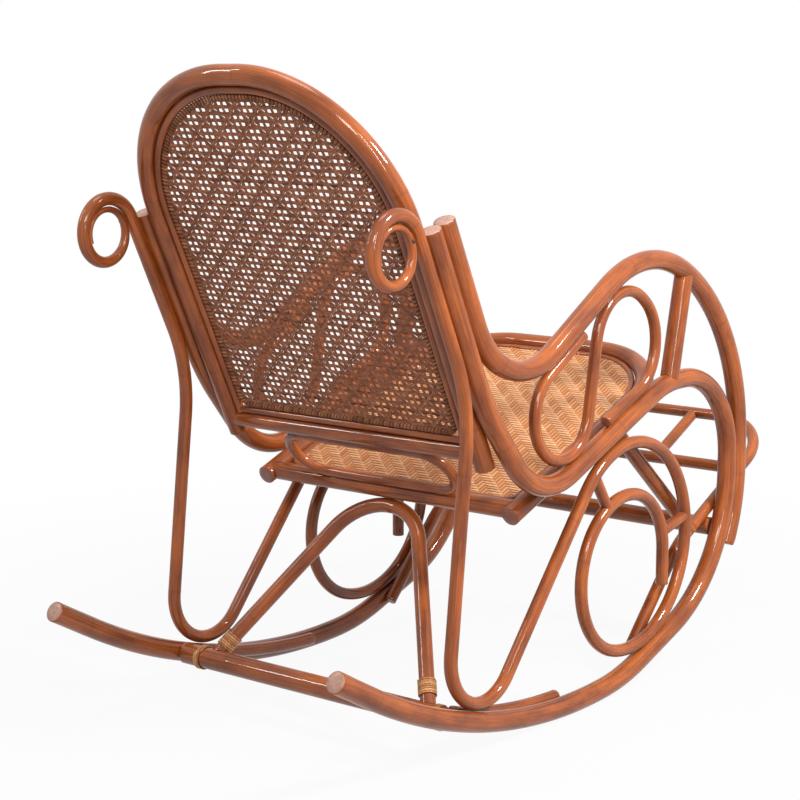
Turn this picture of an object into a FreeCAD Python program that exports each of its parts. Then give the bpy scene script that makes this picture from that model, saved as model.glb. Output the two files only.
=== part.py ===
"""Rattan rocking chair: two bent-cane side frames that stand on curved runners, a woven seat,
an arched cane back and a fixed footrest. Millimetres, +Z up, the sitter faces -Y."""
import FreeCAD
import Part
import math
import os
from FreeCAD import Placement, Rotation, Vector

LEFT = 1
RIGHT = -1
SIDES = {"left": 1, "right": -1}
NO_LENGTH = 1e-4
QUARTER = 90
HALF_TURN = 180
QUARTERS_PER_TURN = 4
SAMPLES_PER_QUARTER = 24
AXIS_X = Vector(1, 0, 0)
AXIS_Y = Vector(0, 1, 0)
AXIS_Z = Vector(0, 0, 1)

# Driving dimensions, by piece: lengths in mm, angles in degrees.
# Heights are above the floor; a _y place is measured back from the model's rough middle.
SIZES = {
    "side_spacing": 540,
    "fit_gap": 0.3,
    "cope_ease": 0.4,
    # Rocker pole: runner, front rise, crown, cradle and back post
    "rocker_dia": 31,
    "rocker_radius": 1000,
    "contact_y": 90,
    "tail_angle": 29,
    "tail_run": 80,
    "lead_angle": 4,
    "lead_radius": 400,
    "front_y": -345,
    "front_radius": 245,
    "front_bend_z": 305,
    "crown_z": 474,
    "crown_radius": 145,
    "brow_y": -182,
    "brow_radius": 200,
    "cradle_y": 163,
    "cradle_z": 360,
    "cradle_radius": 122,
    "post_lean_angle": 25.5,
    "post_top_y": 450,
    "post_top_z": 748,
    "post_bend_z": 536,
    "post_bend_radius": 400,
    # Arm pole: in front of the post, over the arm and down the front of the rocker pole
    "arm_dia": 31,
    "arm_rise": -2,
    "arm_cradle_z": 598,
    "arm_cradle_radius": 131,
    "arm_top_z": 669.5,
    "arm_crown_y": -92,
    "arm_crown_radius": 228,
    "arm_brow_radius": 330,
    "arm_end_angle": 25,
    "arm_end_run": 12,
    "arm_bevel_angle": 30,
    # Leg pole: head ring, leg, foot bend and the coil under the arm
    "leg_dia": 20,
    "ring_radius": 48.5,
    "ring_tip_dia": 5,
    "ring_rise": 8,
    "coil_gap": 0.5,
    "knee_z": 580,
    "knee_radius": 250,
    "foot_y": 327,
    "foot_radius": 75,
    "coil_y": -52,
    "coil_radius": 163,
    "eye_angle": -73,
    "eye_radius": 122,
    "eye_end_angle": 100,
    "eye_end_radius": 105,
    "eye_end_run": 57,
    # Arm scroll, strut and coil spacers
    "scroll_dia": 18,
    "scroll_start_run": 100,
    "scroll_low_y": 138,
    "scroll_top_angle": 59,
    "scroll_top_radius": 80,
    "scroll_heel_y": -34,
    "scroll_heel_radius": 80,
    "scroll_end_run": 94,
    "strut_dia": 30,
    "strut_low_y": -156,
    "strut_top_y": -195,
    "spacer_dia": 18,
    "upper_spacer_angle": 51,
    "upper_spacer_eye_angle": 64,
    "front_spacer_angle": 172,
    "front_spacer_eye_angle": 164,
    # Runner doubler, rear stretcher and rear arch
    "doubler_dia": 20,
    "doubler_lift": 8,
    "doubler_front_y": 112,
    "doubler_end_gap": 11,
    "stretcher_dia": 33,
    "stretcher_y": 395,
    "arch_dia": 23,
    "arch_half_span": 211,
    "arch_shift": -15,
    "arch_top_radius": 92,
    "arch_top_drop": 20,
    # Seat
    "seat_tilt_angle": 21,
    "seat_end_y": 224,
    "seat_end_z": 319,
    "seat_depth": 500,
    "seat_corner_radius": 160,
    "seat_rail_dia": 30,
    "seat_cross_dia": 29,
    "seat_cross_inset": 19,
    "seat_bead_dia": 10,
    "seat_bead_corner": 20,
    "seat_panel_thick": 6,
    # Oval between the seat and the back
    "oval_dia": 16,
    "oval_half_length": 155,
    # Back
    "hoop_dia": 30,
    "hoop_top_z": 949.5,
    "hoop_foot_z": 400,
    "hoop_radius": 225,
    "inner_hoop_dia": 12,
    "edge_dia": 10,
    "edge_corner": 15,
    "back_rail_dia": 26,
    "back_rail_z": 423,
    "inner_rail_dia": 12,
    "back_panel_thick": 3,
    "cane_column_count": 9,
    "cane_row_count": 12,
    "cane_bar": 19,
    # Footrest
    "foot_rail_dia": 30,
    "foot_rail_z": 209,
    "footrest_tilt_angle": 26,
    "footrest_length": 271,
    "footrest_corner": 115,
    "footrest_dia": 20,
    "footrest_heel_run": 87,
    "footrest_heel_radius": 200,
    "foot_bar_dia": 20,
    "foot_bar_reach": 129,
    "foot_slat_dia": 19,
    "foot_slat_spacing": 160,
    "prop_foot_y": -94,
    "prop_foot_z": 45,
    "brace_dia": 24,
    "brace_seat_reach": 280,
    "brace_foot_run": 45,
    # Cane bindings and ring nails
    "cane_dia": 3,
    "cane_pitch": 3.6,
    "arch_binding_turns": 7,
    "stretcher_binding_turns": 3,
    "stretcher_binding_out": 13.5,
    "nail_dia": 6,
    "nail_head": 1.5,
    "nail_lift": 0.1,
}

doc = FreeCAD.newDocument("RattanRocker")
sheet = doc.addObject("Spreadsheet::Sheet", "Sizes")
for row, (alias, number) in enumerate(SIZES.items(), start=1):
    sheet.set("A%d" % row, alias)
    sheet.set("B%d" % row, str(number))
    sheet.setAlias("B%d" % row, alias)
doc.recompute()

subparts = []


def size(alias):
    """A driving dimension, read from the sheet."""
    return float(getattr(sheet, alias))


def half(alias):
    """Half of a driving dimension, as a pole's radius."""
    return size(alias) / 2


def pitch(first, second):
    """Distance between the axes of two poles that lie side by side."""
    return half(first) + half(second) + size("fit_gap")


def turned(degrees, length=1.0):
    """A vector of the given length at an angle from the local X axis."""
    return Vector(length * math.cos(math.radians(degrees)), length * math.sin(math.radians(degrees)), 0)


def left_of(direction):
    """The unit vector a quarter turn to the left of a direction."""
    return Vector(-direction.y, direction.x, 0)


def tilted(alias):
    """The unit vector that leads forwards, raised by a driving angle."""
    along = turned(size(alias))
    return Vector(0, -along.x, along.y)


def beside(start, normal, across, distance):
    """The point at a given Y that stands a distance off a straight run."""
    return Vector(across, start.y + (distance - (across - start.x) * normal.x) / normal.y, 0)


class Bend:
    """A round former that a pole is bent on: its centre, radius and the way the pole turns."""

    def __init__(self, centre, radius, way):
        self.centre = centre
        self.radius = radius
        self.offset = radius * way
        self.way = way


def end_at(point):
    """A route's end, as a former of no size."""
    return Bend(point, 0, LEFT)


def tangent(first, second):
    """The straight run from one former to the next: its two ends and its direction."""
    across = second.centre - first.centre
    lean = (second.offset - first.offset) / across.Length
    heading = math.atan2(across.y, across.x) - math.asin(max(-1, min(1, lean)))
    direction = Vector(math.cos(heading), math.sin(heading), 0)
    side = left_of(direction)
    start = first.centre - side * first.offset
    finish = second.centre - side * second.offset
    if (finish - start).Length < NO_LENGTH:
        finish = start
    return start, finish, direction


def arc(bend, start, finish):
    """The arc on a former from one tangent point to the next."""
    first = math.atan2(start.y - bend.centre.y, start.x - bend.centre.x)
    last = math.atan2(finish.y - bend.centre.y, finish.x - bend.centre.x)
    sweep = (bend.way * (last - first)) % (2 * math.pi)
    middle = first + bend.way * sweep / 2
    point = bend.centre + Vector(math.cos(middle), math.sin(middle), 0) * bend.radius
    return Part.Arc(start, point, finish).toShape()


def route(bends, closed=False):
    """The wire of straight runs and tangent arcs over a list of formers."""
    following = bends[1:] + bends[:1] if closed else bends[1:]
    runs = [tangent(first, second) for first, second in zip(bends, following)]
    edges = []
    for number, (start, finish, direction) in enumerate(runs):
        if (finish - start).Length > NO_LENGTH:
            edges.append(Part.LineSegment(start, finish).toShape())
        last_run = number + 1 == len(runs)
        if closed or not last_run:
            leaving = runs[(number + 1) % len(runs)][0]
            if (leaving - finish).Length > NO_LENGTH:
                edges.append(arc(following[number], finish, leaving))
    return Part.Wire(edges)


def rounded(corners, radii):
    """The wire through a row of points in space, with each inner corner bent to its own radius."""
    edges = []
    leaving = corners[0]
    for before, corner, after, radius in zip(corners, corners[1:], corners[2:], radii):
        back_way = (before - corner).normalize()
        on_way = (after - corner).normalize()
        half_angle = back_way.getAngle(on_way) / 2
        run = radius / math.tan(half_angle)
        inward = (back_way + on_way).normalize()
        middle = corner + inward * (radius / math.sin(half_angle) - radius)
        arriving = corner + back_way * run
        edges.append(Part.LineSegment(leaving, arriving).toShape())
        leaving = corner + on_way * run
        edges.append(Part.Arc(arriving, middle, leaving).toShape())
    edges.append(Part.LineSegment(leaving, corners[-1]).toShape())
    return Part.Wire(edges)


def plane(origin, across, upward):
    """A placement whose local X and Y run along two given directions."""
    return Placement(origin, Rotation(across, upward, across.cross(upward), "ZXY"))


def keep(item, label):
    """Name a finished sub-part and put it on the list that is written out."""
    item.Label = label
    subparts.append(item)
    return item


def section(name, wire, at_end, place, diameter):
    """A round section across a route's first or last point, with its diameter bound to the sheet."""
    edge = wire.OrderedEdges[-1 if at_end else 0]
    forward = edge.Orientation == "Forward"
    spot = edge.LastParameter if forward == at_end else edge.FirstParameter
    ring = doc.addObject("Part::Circle", name)
    ring.setExpression("Radius", "Sizes.%s / 2" % diameter)
    facing = Rotation(AXIS_Z, edge.tangentAt(spot))
    ring.Placement = place.multiply(Placement(edge.valueAt(spot), facing))
    return ring


def sweep_pole(name, wire, place, diameter, last_diameter=None):
    """A round pole swept along a route; it tapers where a second diameter is given."""
    path = doc.addObject("Part::Feature", name + "_route")
    path.Shape = wire
    path.Placement = place
    sections = [section(name + "_section", wire, False, place, diameter)]
    if last_diameter:
        sections.append(section(name + "_last_section", wire, True, place, last_diameter))
    pole = doc.addObject("Part::Sweep", name)
    pole.Sections = sections
    pole.Spine = (path, ["Edge%d" % number for number in range(1, len(wire.Edges) + 1)])
    pole.Solid = True
    return pole


def rod(name, start, finish, diameter):
    """A straight pole between two points, with its diameter bound to the sheet."""
    along = finish - start
    pole = doc.addObject("Part::Cylinder", name)
    pole.setExpression("Radius", "Sizes.%s / 2" % diameter)
    pole.Height = along.Length
    pole.Placement = Placement(start, Rotation(AXIS_Z, along))
    return pole


def coped(pole, point, along, diameter):
    """Hollow a pole's end so that it seats on a round pole through a point."""
    pole.Label = pole.Name + "_blank"
    reach = half("side_spacing")
    way = Vector(along).normalize()
    cutter = doc.addObject("Part::Cylinder", pole.Name + "_cope")
    cutter.setExpression("Radius", "Sizes.%s / 2 + Sizes.fit_gap + Sizes.cope_ease" % diameter)
    cutter.Height = 2 * reach
    cutter.Placement = Placement(point - way * reach, Rotation(AXIS_Z, way))
    cut = doc.addObject("Part::Cut", pole.Name + "_coped")
    cut.Base = pole
    cut.Tool = cutter
    return cut


def bevelled(pole, place, diameter):
    """Cut a pole's end off along a plane, on the side that the plane's normal points to."""
    pole.Label = pole.Name + "_blank"
    cutter = doc.addObject("Part::Box", pole.Name + "_bevel")
    for side in ("Length", "Width", "Height"):
        cutter.setExpression(side, "4 * Sizes.%s" % diameter)
    cutter.Placement = place * Placement(Vector(-2 * size(diameter), -2 * size(diameter), 0), Rotation())
    cut = doc.addObject("Part::Cut", pole.Name + "_bevelled")
    cut.Base = pole
    cut.Tool = cutter
    return cut


def slab(name, wire, place, thickness):
    """A thin panel with a given outline, centred on its plane."""
    outline = doc.addObject("Part::Feature", name + "_outline")
    outline.Shape = wire
    outline.Placement = place
    panel = doc.addObject("Part::Extrusion", name)
    panel.Base = outline
    panel.DirMode = "Custom"
    panel.Dir = place.Rotation.multVec(AXIS_Z)
    panel.setExpression("LengthFwd", "Sizes.%s" % thickness)
    panel.Symmetric = True
    panel.Solid = True
    return panel


# Side frame, in a plane whose local X is the chair's Y and whose local Y is its Z
half_spacing = half("side_spacing")
leg_pitch = pitch("rocker_dia", "leg_dia")
arm_pitch = pitch("rocker_dia", "arm_dia")

runner = Bend(Vector(size("contact_y"), half("rocker_dia") + size("rocker_radius"), 0),
              size("rocker_radius"), RIGHT)
lead_way = turned(-QUARTER - size("lead_angle"))
lead = Bend(runner.centre + lead_way * (size("rocker_radius") - size("lead_radius")),
            size("lead_radius"), RIGHT)
front = Bend(Vector(size("front_y") + size("front_radius"), size("front_bend_z"), 0),
             size("front_radius"), RIGHT)
crown = Bend(Vector(size("front_y") + size("crown_radius"), size("crown_z") - size("crown_radius"), 0),
             size("crown_radius"), RIGHT)
brow = Bend(Vector(size("brow_y"), size("crown_z") - size("brow_radius"), 0), size("brow_radius"), RIGHT)
cradle = Bend(Vector(size("cradle_y"), size("cradle_z") + size("cradle_radius"), 0),
              size("cradle_radius"), LEFT)
post_up = turned(QUARTER - size("post_lean_angle"))
post_front = left_of(post_up)
post_top = Vector(size("post_top_y"), size("post_top_z"), 0)


def post_point(height):
    """The point of the back post's axis at a height."""
    return post_top + post_up * ((height - post_top.y) / post_up.y)


post_bend = Bend(post_point(size("post_bend_z")) + post_front * size("post_bend_radius"),
                 size("post_bend_radius"), LEFT)
tail_way = turned(size("tail_angle"))
tail_tip = runner.centre - left_of(tail_way) * size("rocker_radius") + tail_way * size("tail_run")
rocker_bends = [end_at(tail_tip), runner, lead, front, crown, brow, cradle, post_bend, end_at(post_top)]

arm_top = post_top + post_front * arm_pitch + post_up * size("arm_rise")
arm_cradle = Bend(post_point(size("arm_cradle_z")) + post_front * (arm_pitch + size("arm_cradle_radius")),
                  size("arm_cradle_radius"), RIGHT)
arm_crown = Bend(Vector(size("arm_crown_y"), size("arm_top_z") - size("arm_crown_radius"), 0),
                 size("arm_crown_radius"), LEFT)
# The arm's front rise is one bend that runs into the crown's bend with no straight run between them
arm_brow_y = size("front_y") - arm_pitch + size("arm_brow_radius")
arm_brow_drop = math.sqrt((size("arm_brow_radius") - arm_crown.radius) ** 2
                          - (arm_brow_y - arm_crown.centre.x) ** 2)
arm_brow = Bend(Vector(arm_brow_y, arm_crown.centre.y - arm_brow_drop, 0), size("arm_brow_radius"), LEFT)
arm_front = Bend(front.centre, size("front_radius") + arm_pitch, LEFT)
arm_end_way = turned(size("arm_end_angle") - QUARTER)
arm_end = arm_front.centre - left_of(arm_end_way) * arm_front.radius + arm_end_way * size("arm_end_run")
arm_bends = [end_at(arm_top), arm_cradle, arm_crown, arm_brow, arm_front, end_at(arm_end)]
# The arm's front end is bevelled on its outer side
bevel_way = -turned(size("arm_end_angle") + size("arm_bevel_angle") - QUARTER)

# The head ring is a spiral of half turns; the last two taper to a thin tip inside the outer turn
ring_centre = post_top + post_up * size("ring_rise") - post_front * (leg_pitch + size("ring_radius"))
ring_outer = Bend(ring_centre, size("ring_radius"), LEFT)
ring_room = size("ring_radius") - half("leg_dia") - size("coil_gap")
ring_middle_dia = (size("leg_dia") + size("ring_tip_dia")) / 2
ring_tip = ring_centre - post_front * (ring_room - half("ring_tip_dia"))
ring_front = ring_centre + post_front * (ring_room - ring_middle_dia / 2)
ring_rear = ring_centre - post_front * size("ring_radius")


def half_turn(start, finish):
    """Half a left turn from one point to another."""
    return arc(Bend((start + finish) * 0.5, (finish - start).Length / 2, LEFT), start, finish)


ring_taper = Part.Wire([half_turn(ring_tip, ring_front), half_turn(ring_front, ring_rear)])
knee = Bend(post_point(size("knee_z")) - post_front * (leg_pitch + size("knee_radius")),
            size("knee_radius"), LEFT)
foot_depth = size("rocker_radius") - size("foot_radius") - leg_pitch
foot_drop = math.sqrt(foot_depth ** 2 - (size("foot_y") - runner.centre.x) ** 2)
foot = Bend(Vector(size("foot_y"), runner.centre.y - foot_drop, 0), size("foot_radius"), RIGHT)

# The coil rests on the straight rise of the runner, then winds inwards
rise_start, rise_end, rise_way = tangent(lead, front)
rise_up = left_of(rise_way) * RIGHT
coil = Bend(beside(rise_start, rise_up, size("coil_y"), size("coil_radius") + leg_pitch),
            size("coil_radius"), LEFT)
eye = Bend(coil.centre + turned(size("eye_angle"), coil.radius - size("eye_radius")),
           size("eye_radius"), LEFT)
eye_end = Bend(eye.centre + turned(size("eye_end_angle"), eye.radius - size("eye_end_radius")),
               size("eye_end_radius"), LEFT)
eye_tip = eye_end.centre + Vector(-eye_end.radius, -size("eye_end_run"), 0)
leg_bends = [end_at(ring_rear), ring_outer, knee, foot, coil, eye, eye_end, end_at(eye_tip)]

# The scroll hangs from the arm, dips into the cradle, rises to the arm and lies along the rocker pole
arm_rise_start, arm_rise_end, arm_rise_way = tangent(arm_cradle, arm_crown)
under_arm = left_of(arm_rise_way)
hang = pitch("arm_dia", "scroll_dia")
slope_start, slope_end, slope_way = tangent(brow, cradle)
slope_up = left_of(slope_way)
rest = pitch("rocker_dia", "scroll_dia")
arm_above = beside(arm_rise_start, under_arm, size("scroll_low_y"), hang)
slope_below = beside(slope_start, slope_up, size("scroll_low_y"), rest)
low_radius = (arm_above.y - slope_below.y) / (1 / abs(under_arm.y) + 1 / slope_up.y)
scroll_low = Bend(beside(slope_start, slope_up, size("scroll_low_y"), rest + low_radius), low_radius, RIGHT)
scroll_start = (scroll_low.centre - under_arm * scroll_low.radius
                + arm_rise_way * size("scroll_start_run"))
scroll_top_reach = arm_crown.radius - size("scroll_top_radius") - hang
scroll_top = Bend(arm_crown.centre + turned(size("scroll_top_angle"), scroll_top_reach),
                  size("scroll_top_radius"), LEFT)
heel_centre = beside(slope_start, slope_up, size("scroll_heel_y"), rest + size("scroll_heel_radius"))
scroll_heel = Bend(heel_centre, size("scroll_heel_radius"), LEFT)
scroll_end = scroll_heel.centre - slope_up * scroll_heel.radius + slope_way * size("scroll_end_run")
scroll_bends = [end_at(scroll_start), scroll_low, scroll_top, scroll_heel, end_at(scroll_end)]

# The runner's doubler is a short pole inside and a little above the runner's axis
doubler_in = math.sqrt(pitch("rocker_dia", "doubler_dia") ** 2 - size("doubler_lift") ** 2)
doubler_arc = Bend(runner.centre, size("rocker_radius") - size("doubler_lift"), LEFT)
stretcher_place = Vector(size("stretcher_y"), runner.centre.y - math.sqrt(
    size("rocker_radius") ** 2 - (size("stretcher_y") - runner.centre.x) ** 2), 0)
doubler_back_y = stretcher_place.x - half("stretcher_dia") - size("doubler_end_gap")


def runner_point(radius, across):
    """The point at a given Y on a circle about the runner's centre."""
    return Vector(across, runner.centre.y - math.sqrt(radius ** 2 - (across - runner.centre.x) ** 2), 0)


def on_bend(bend, degrees):
    """A point on a former's circle and the pole's direction there."""
    out = turned(degrees)
    return bend.centre + out * bend.radius, left_of(out)


def at_y(bend, across):
    """The upper point of a former's circle at a given Y and the pole's direction there."""
    degrees = math.degrees(math.acos((across - bend.centre.x) / bend.radius))
    return on_bend(bend, degrees)


def side_rod(name, place, first, second, diameter, seat_diameters):
    """A straight pole in the side plane between two poles, coped to both."""
    ends = [(place.multVec(point), place.Rotation.multVec(way)) for point, way in (first, second)]
    pole = rod(name, ends[0][0], ends[1][0], diameter)
    for (point, way), seat in zip(ends, seat_diameters):
        pole = coped(pole, point, way, seat)
    return pole


def side_frame(word, sign):
    """One side frame: rocker, arm and leg poles, scroll, strut, spacers and doubler."""
    place = plane(Vector(sign * half_spacing, 0, 0), AXIS_Y, AXIS_Z)
    inner = plane(Vector(sign * (half_spacing - doubler_in), 0, 0), AXIS_Y, AXIS_Z)
    for part, bends, diameter in (
            ("rocker_pole", rocker_bends, "rocker_dia"),
            ("arm_scroll", scroll_bends, "scroll_dia")):
        name = "%s_%s" % (part, word)
        keep(sweep_pole(name, route(bends), place, diameter), name)
    arm_name = "arm_pole_" + word
    bevel = plane(place.multVec(arm_end), AXIS_X, place.Rotation.multVec(bevel_way))
    keep(bevelled(sweep_pole(arm_name, route(arm_bends), place, "arm_dia"), bevel, "arm_dia"), arm_name)
    leg_name = "leg_pole_" + word
    leg_pole = doc.addObject("Part::MultiFuse", leg_name)
    leg_pole.Shapes = [sweep_pole(leg_name + "_tip", ring_taper, place, "ring_tip_dia", "leg_dia"),
                       sweep_pole(leg_name + "_run", route(leg_bends), place, "leg_dia")]
    keep(leg_pole, leg_name)
    for part, first, second, diameter, seats in (
            ("arm_strut", at_y(brow, size("strut_low_y")), at_y(arm_crown, size("strut_top_y")),
             "strut_dia", ("rocker_dia", "arm_dia")),
            ("coil_spacer_upper", on_bend(coil, size("upper_spacer_angle")),
             on_bend(eye, size("upper_spacer_eye_angle")), "spacer_dia", ("leg_dia", "leg_dia")),
            ("coil_spacer_front", on_bend(coil, size("front_spacer_angle")),
             on_bend(eye_end, size("front_spacer_eye_angle")), "spacer_dia", ("leg_dia", "leg_dia"))):
        name = "%s_%s" % (part, word)
        keep(side_rod(name, place, first, second, diameter, seats), name)
    back_end = runner_point(doubler_arc.radius, doubler_back_y)
    front_end = runner_point(doubler_arc.radius, size("doubler_front_y"))
    name = "runner_doubler_" + word
    keep(sweep_pole(name, Part.Wire([arc(Bend(doubler_arc.centre, doubler_arc.radius, RIGHT),
                                         back_end, front_end)]), inner, "doubler_dia"), name)


for word, sign in SIDES.items():
    side_frame(word, sign)


def chair_point(across, place):
    """A point of the chair from its X and its place in the side plane."""
    return Vector(across, place.x, place.y)


def cross_rod(name, place, half_length, diameter):
    """A straight pole across the chair."""
    return rod(name, chair_point(-half_length, place), chair_point(half_length, place), diameter)


# Rear stretcher between the runners
between_poles = half_spacing - half("rocker_dia") - size("fit_gap")
keep(cross_rod("rear_stretcher", stretcher_place, between_poles, "stretcher_dia"), "rear_stretcher")

# Seat: a bent frame, a rear cross rail, a bead and a woven panel
seat_way = tilted("seat_tilt_angle")
seat_origin = Vector(0, size("seat_end_y"), size("seat_end_z"))
seat_plane = plane(seat_origin, AXIS_X, seat_way)
seat_half = half_spacing - pitch("rocker_dia", "seat_rail_dia")


def arch_formers(half_width, top, radius):
    """The two formers of a flat-topped arch: right side up, across the top and down."""
    return [Bend(Vector(half_width - radius, top - radius, 0), radius, LEFT),
            Bend(Vector(radius - half_width, top - radius, 0), radius, LEFT)]


def open_arch(half_width, low, top, radius):
    """The route of a pole bent to an arch with two straight legs."""
    ends = [Vector(half_width, low, 0), Vector(-half_width, low, 0)]
    return route([end_at(ends[0])] + arch_formers(half_width, top, radius) + [end_at(ends[1])])


def closed_arch(half_width, low, top, radius, low_radius):
    """The route of a closed loop: an arch with two smaller bends at its foot."""
    feet = [Bend(Vector(low_radius - half_width, low + low_radius, 0), low_radius, LEFT),
            Bend(Vector(half_width - low_radius, low + low_radius, 0), low_radius, LEFT)]
    return route(arch_formers(half_width, top, radius) + feet, closed=True)


keep(sweep_pole("seat_frame", open_arch(seat_half, 0, size("seat_depth"), size("seat_corner_radius")),
                seat_plane, "seat_rail_dia"), "seat_frame")
seat_left = seat_plane.multVec(Vector(seat_half, size("seat_cross_inset"), 0))
seat_right = seat_plane.multVec(Vector(-seat_half, size("seat_cross_inset"), 0))
cross_rail = rod("seat_rear_rail", seat_right, seat_left, "seat_cross_dia")
cross_rail = coped(cross_rail, seat_left, seat_way, "seat_rail_dia")
keep(coped(cross_rail, seat_right, seat_way, "seat_rail_dia"), "seat_rear_rail")

bead_inset = pitch("seat_rail_dia", "seat_bead_dia")
bead_low = size("seat_cross_inset") + pitch("seat_cross_dia", "seat_bead_dia")
bead_route = closed_arch(seat_half - bead_inset, bead_low, size("seat_depth") - bead_inset,
                         size("seat_corner_radius") - bead_inset, size("seat_bead_corner"))
keep(sweep_pole("seat_bead", bead_route, seat_plane, "seat_bead_dia"), "seat_bead")
bead_edge = half("seat_bead_dia") + size("fit_gap")
weave_inset = bead_inset + bead_edge
weave_outline = closed_arch(seat_half - weave_inset, bead_low + bead_edge, size("seat_depth") - weave_inset,
                            size("seat_corner_radius") - weave_inset, size("seat_bead_corner") - bead_edge)
keep(slab("seat_panel", weave_outline, seat_plane, "seat_panel_thick"), "seat_panel")

# Rear arch: its feet stand on the stretcher, off the middle, and its top lies under the seat's rear rail
rail_axis = seat_plane.multVec(Vector(0, size("seat_cross_inset"), 0))
rail_place = Vector(rail_axis.y, rail_axis.z, 0)
top_offset = math.sqrt(pitch("seat_cross_dia", "arch_dia") ** 2 - size("arch_top_drop") ** 2)
arch_low, arch_high, arch_lean = tangent(end_at(stretcher_place), Bend(rail_place, top_offset, RIGHT))
arch_plane = plane(chair_point(0, arch_low), AXIS_X, Vector(0, arch_lean.x, arch_lean.y))
arch_top = (arch_high - arch_low).Length - size("arch_top_drop")
arch_bend = Bend(Vector(0, arch_top - size("arch_top_radius"), 0), size("arch_top_radius"), LEFT)
arch_feet = [Vector(side * size("arch_half_span") + size("arch_shift"), 0, 0) for side in (1, -1)]
rear_arch = sweep_pole("rear_arch", route([end_at(arch_feet[0]), arch_bend, end_at(arch_feet[1])]),
                       arch_plane, "arch_dia")
keep(coped(rear_arch, chair_point(0, stretcher_place), AXIS_X, "stretcher_dia"), "rear_arch")

# Back: an outer hoop beside the posts, an inner hoop, rails, a wrapped edge and a cane panel
back_way = Vector(0, post_up.x, post_up.y)
back_plane = plane(chair_point(0, post_top), AXIS_X, back_way)


def back_reach(height):
    """Distance up the back's plane from the post tops to a height."""
    return (height - post_top.y) / post_up.y


hoop_half = half_spacing - pitch("rocker_dia", "hoop_dia")
hoop_top = back_reach(size("hoop_top_z"))
keep(sweep_pole("back_hoop", open_arch(hoop_half, back_reach(size("hoop_foot_z")), hoop_top,
                                       size("hoop_radius")), back_plane, "hoop_dia"), "back_hoop")
rail_reach = back_reach(size("back_rail_z"))
back_left = back_plane.multVec(Vector(hoop_half, rail_reach, 0))
back_right = back_plane.multVec(Vector(-hoop_half, rail_reach, 0))
back_rail = rod("back_bottom_rail", back_right, back_left, "back_rail_dia")
back_rail = coped(back_rail, back_left, back_way, "hoop_dia")
keep(coped(back_rail, back_right, back_way, "hoop_dia"), "back_bottom_rail")

inner_inset = pitch("hoop_dia", "inner_hoop_dia")
inner_half = hoop_half - inner_inset
inner_low = rail_reach + half("back_rail_dia") + size("fit_gap")
keep(sweep_pole("back_inner_hoop", open_arch(
    inner_half, inner_low, hoop_top - inner_inset, size("hoop_radius") - inner_inset),
    back_plane, "inner_hoop_dia"), "back_inner_hoop")
inner_rail_reach = rail_reach + pitch("back_rail_dia", "inner_rail_dia")
inner_left = back_plane.multVec(Vector(inner_half, inner_rail_reach, 0))
inner_right = back_plane.multVec(Vector(-inner_half, inner_rail_reach, 0))
inner_rail = rod("back_inner_rail", inner_right, inner_left, "inner_rail_dia")
inner_rail = coped(inner_rail, inner_left, back_way, "inner_hoop_dia")
keep(coped(inner_rail, inner_right, back_way, "inner_hoop_dia"), "back_inner_rail")

edge_inset = inner_inset + pitch("inner_hoop_dia", "edge_dia")
edge_low = inner_rail_reach + pitch("inner_rail_dia", "edge_dia")
keep(sweep_pole("back_edge_binding", closed_arch(
    hoop_half - edge_inset, edge_low, hoop_top - edge_inset, size("hoop_radius") - edge_inset,
    size("edge_corner")), back_plane, "edge_dia"), "back_edge_binding")
cane_inset = edge_inset + half("edge_dia") + size("fit_gap")
cane_low = edge_low + half("edge_dia") + size("fit_gap")
cane_half = hoop_half - cane_inset
cane_top = hoop_top - cane_inset
cane_radius = size("hoop_radius") - cane_inset
cane_blank = slab("back_panel", closed_arch(
    cane_half, cane_low, cane_top, cane_radius, size("edge_corner") - half("edge_dia") - size("fit_gap")),
    back_plane, "back_panel_thick")


def within_cane(corner):
    """True where a corner stands in the cane with at least half a bar to spare under the arch."""
    from_former = Vector(max(abs(corner.x) - cane_half + cane_radius, 0),
                         max(corner.y - cane_top + cane_radius, 0), 0)
    return from_former.Length <= cane_radius - half("cane_bar")


def cane_openings():
    """The outlines of the open places between the cane's bars, in columns and rows."""
    across = 2 * cane_half / size("cane_column_count")
    upward = (cane_top - cane_low) / size("cane_row_count")
    half_bar = half("cane_bar")
    outlines = []
    for column in range(round(size("cane_column_count"))):
        for row in range(round(size("cane_row_count"))):
            left = column * across - cane_half + half_bar
            right = left + across - size("cane_bar")
            low = cane_low + row * upward + half_bar
            high = low + upward - size("cane_bar")
            corners = [Vector(*spot, 0) for spot in ((left, low), (right, low), (right, high), (left, high))]
            if all(within_cane(corner) for corner in corners):
                outlines.append(Part.makePolygon(corners + corners[:1]))
    return outlines


cane_blank.Label = "back_panel_blank"
cane_cutter = slab("back_panel_openings", Part.Compound(cane_openings()), back_plane, "edge_dia")
open_cane = doc.addObject("Part::Cut", "back_panel_open")
open_cane.Base = cane_blank
open_cane.Tool = cane_cutter
keep(open_cane, "back_panel")

# Oval between the seat's rear rail and the back's bottom rail
back_rail_axis = back_plane.multVec(Vector(0, rail_reach, 0))
oval_way = (back_rail_axis - rail_axis).normalize()
oval_low = pitch("seat_cross_dia", "oval_dia")
oval_high = (back_rail_axis - rail_axis).Length - pitch("back_rail_dia", "oval_dia")
oval_radius = (oval_high - oval_low) / 2
oval_centre = Vector(size("oval_half_length") - oval_radius, oval_low + oval_radius, 0)
oval_formers = [Bend(oval_centre, oval_radius, LEFT),
                Bend(Vector(-oval_centre.x, oval_centre.y, 0), oval_radius, LEFT)]
keep(sweep_pole("seat_back_oval", route(oval_formers, closed=True), plane(rail_axis, AXIS_X, oval_way),
                "oval_dia"), "seat_back_oval")

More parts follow.
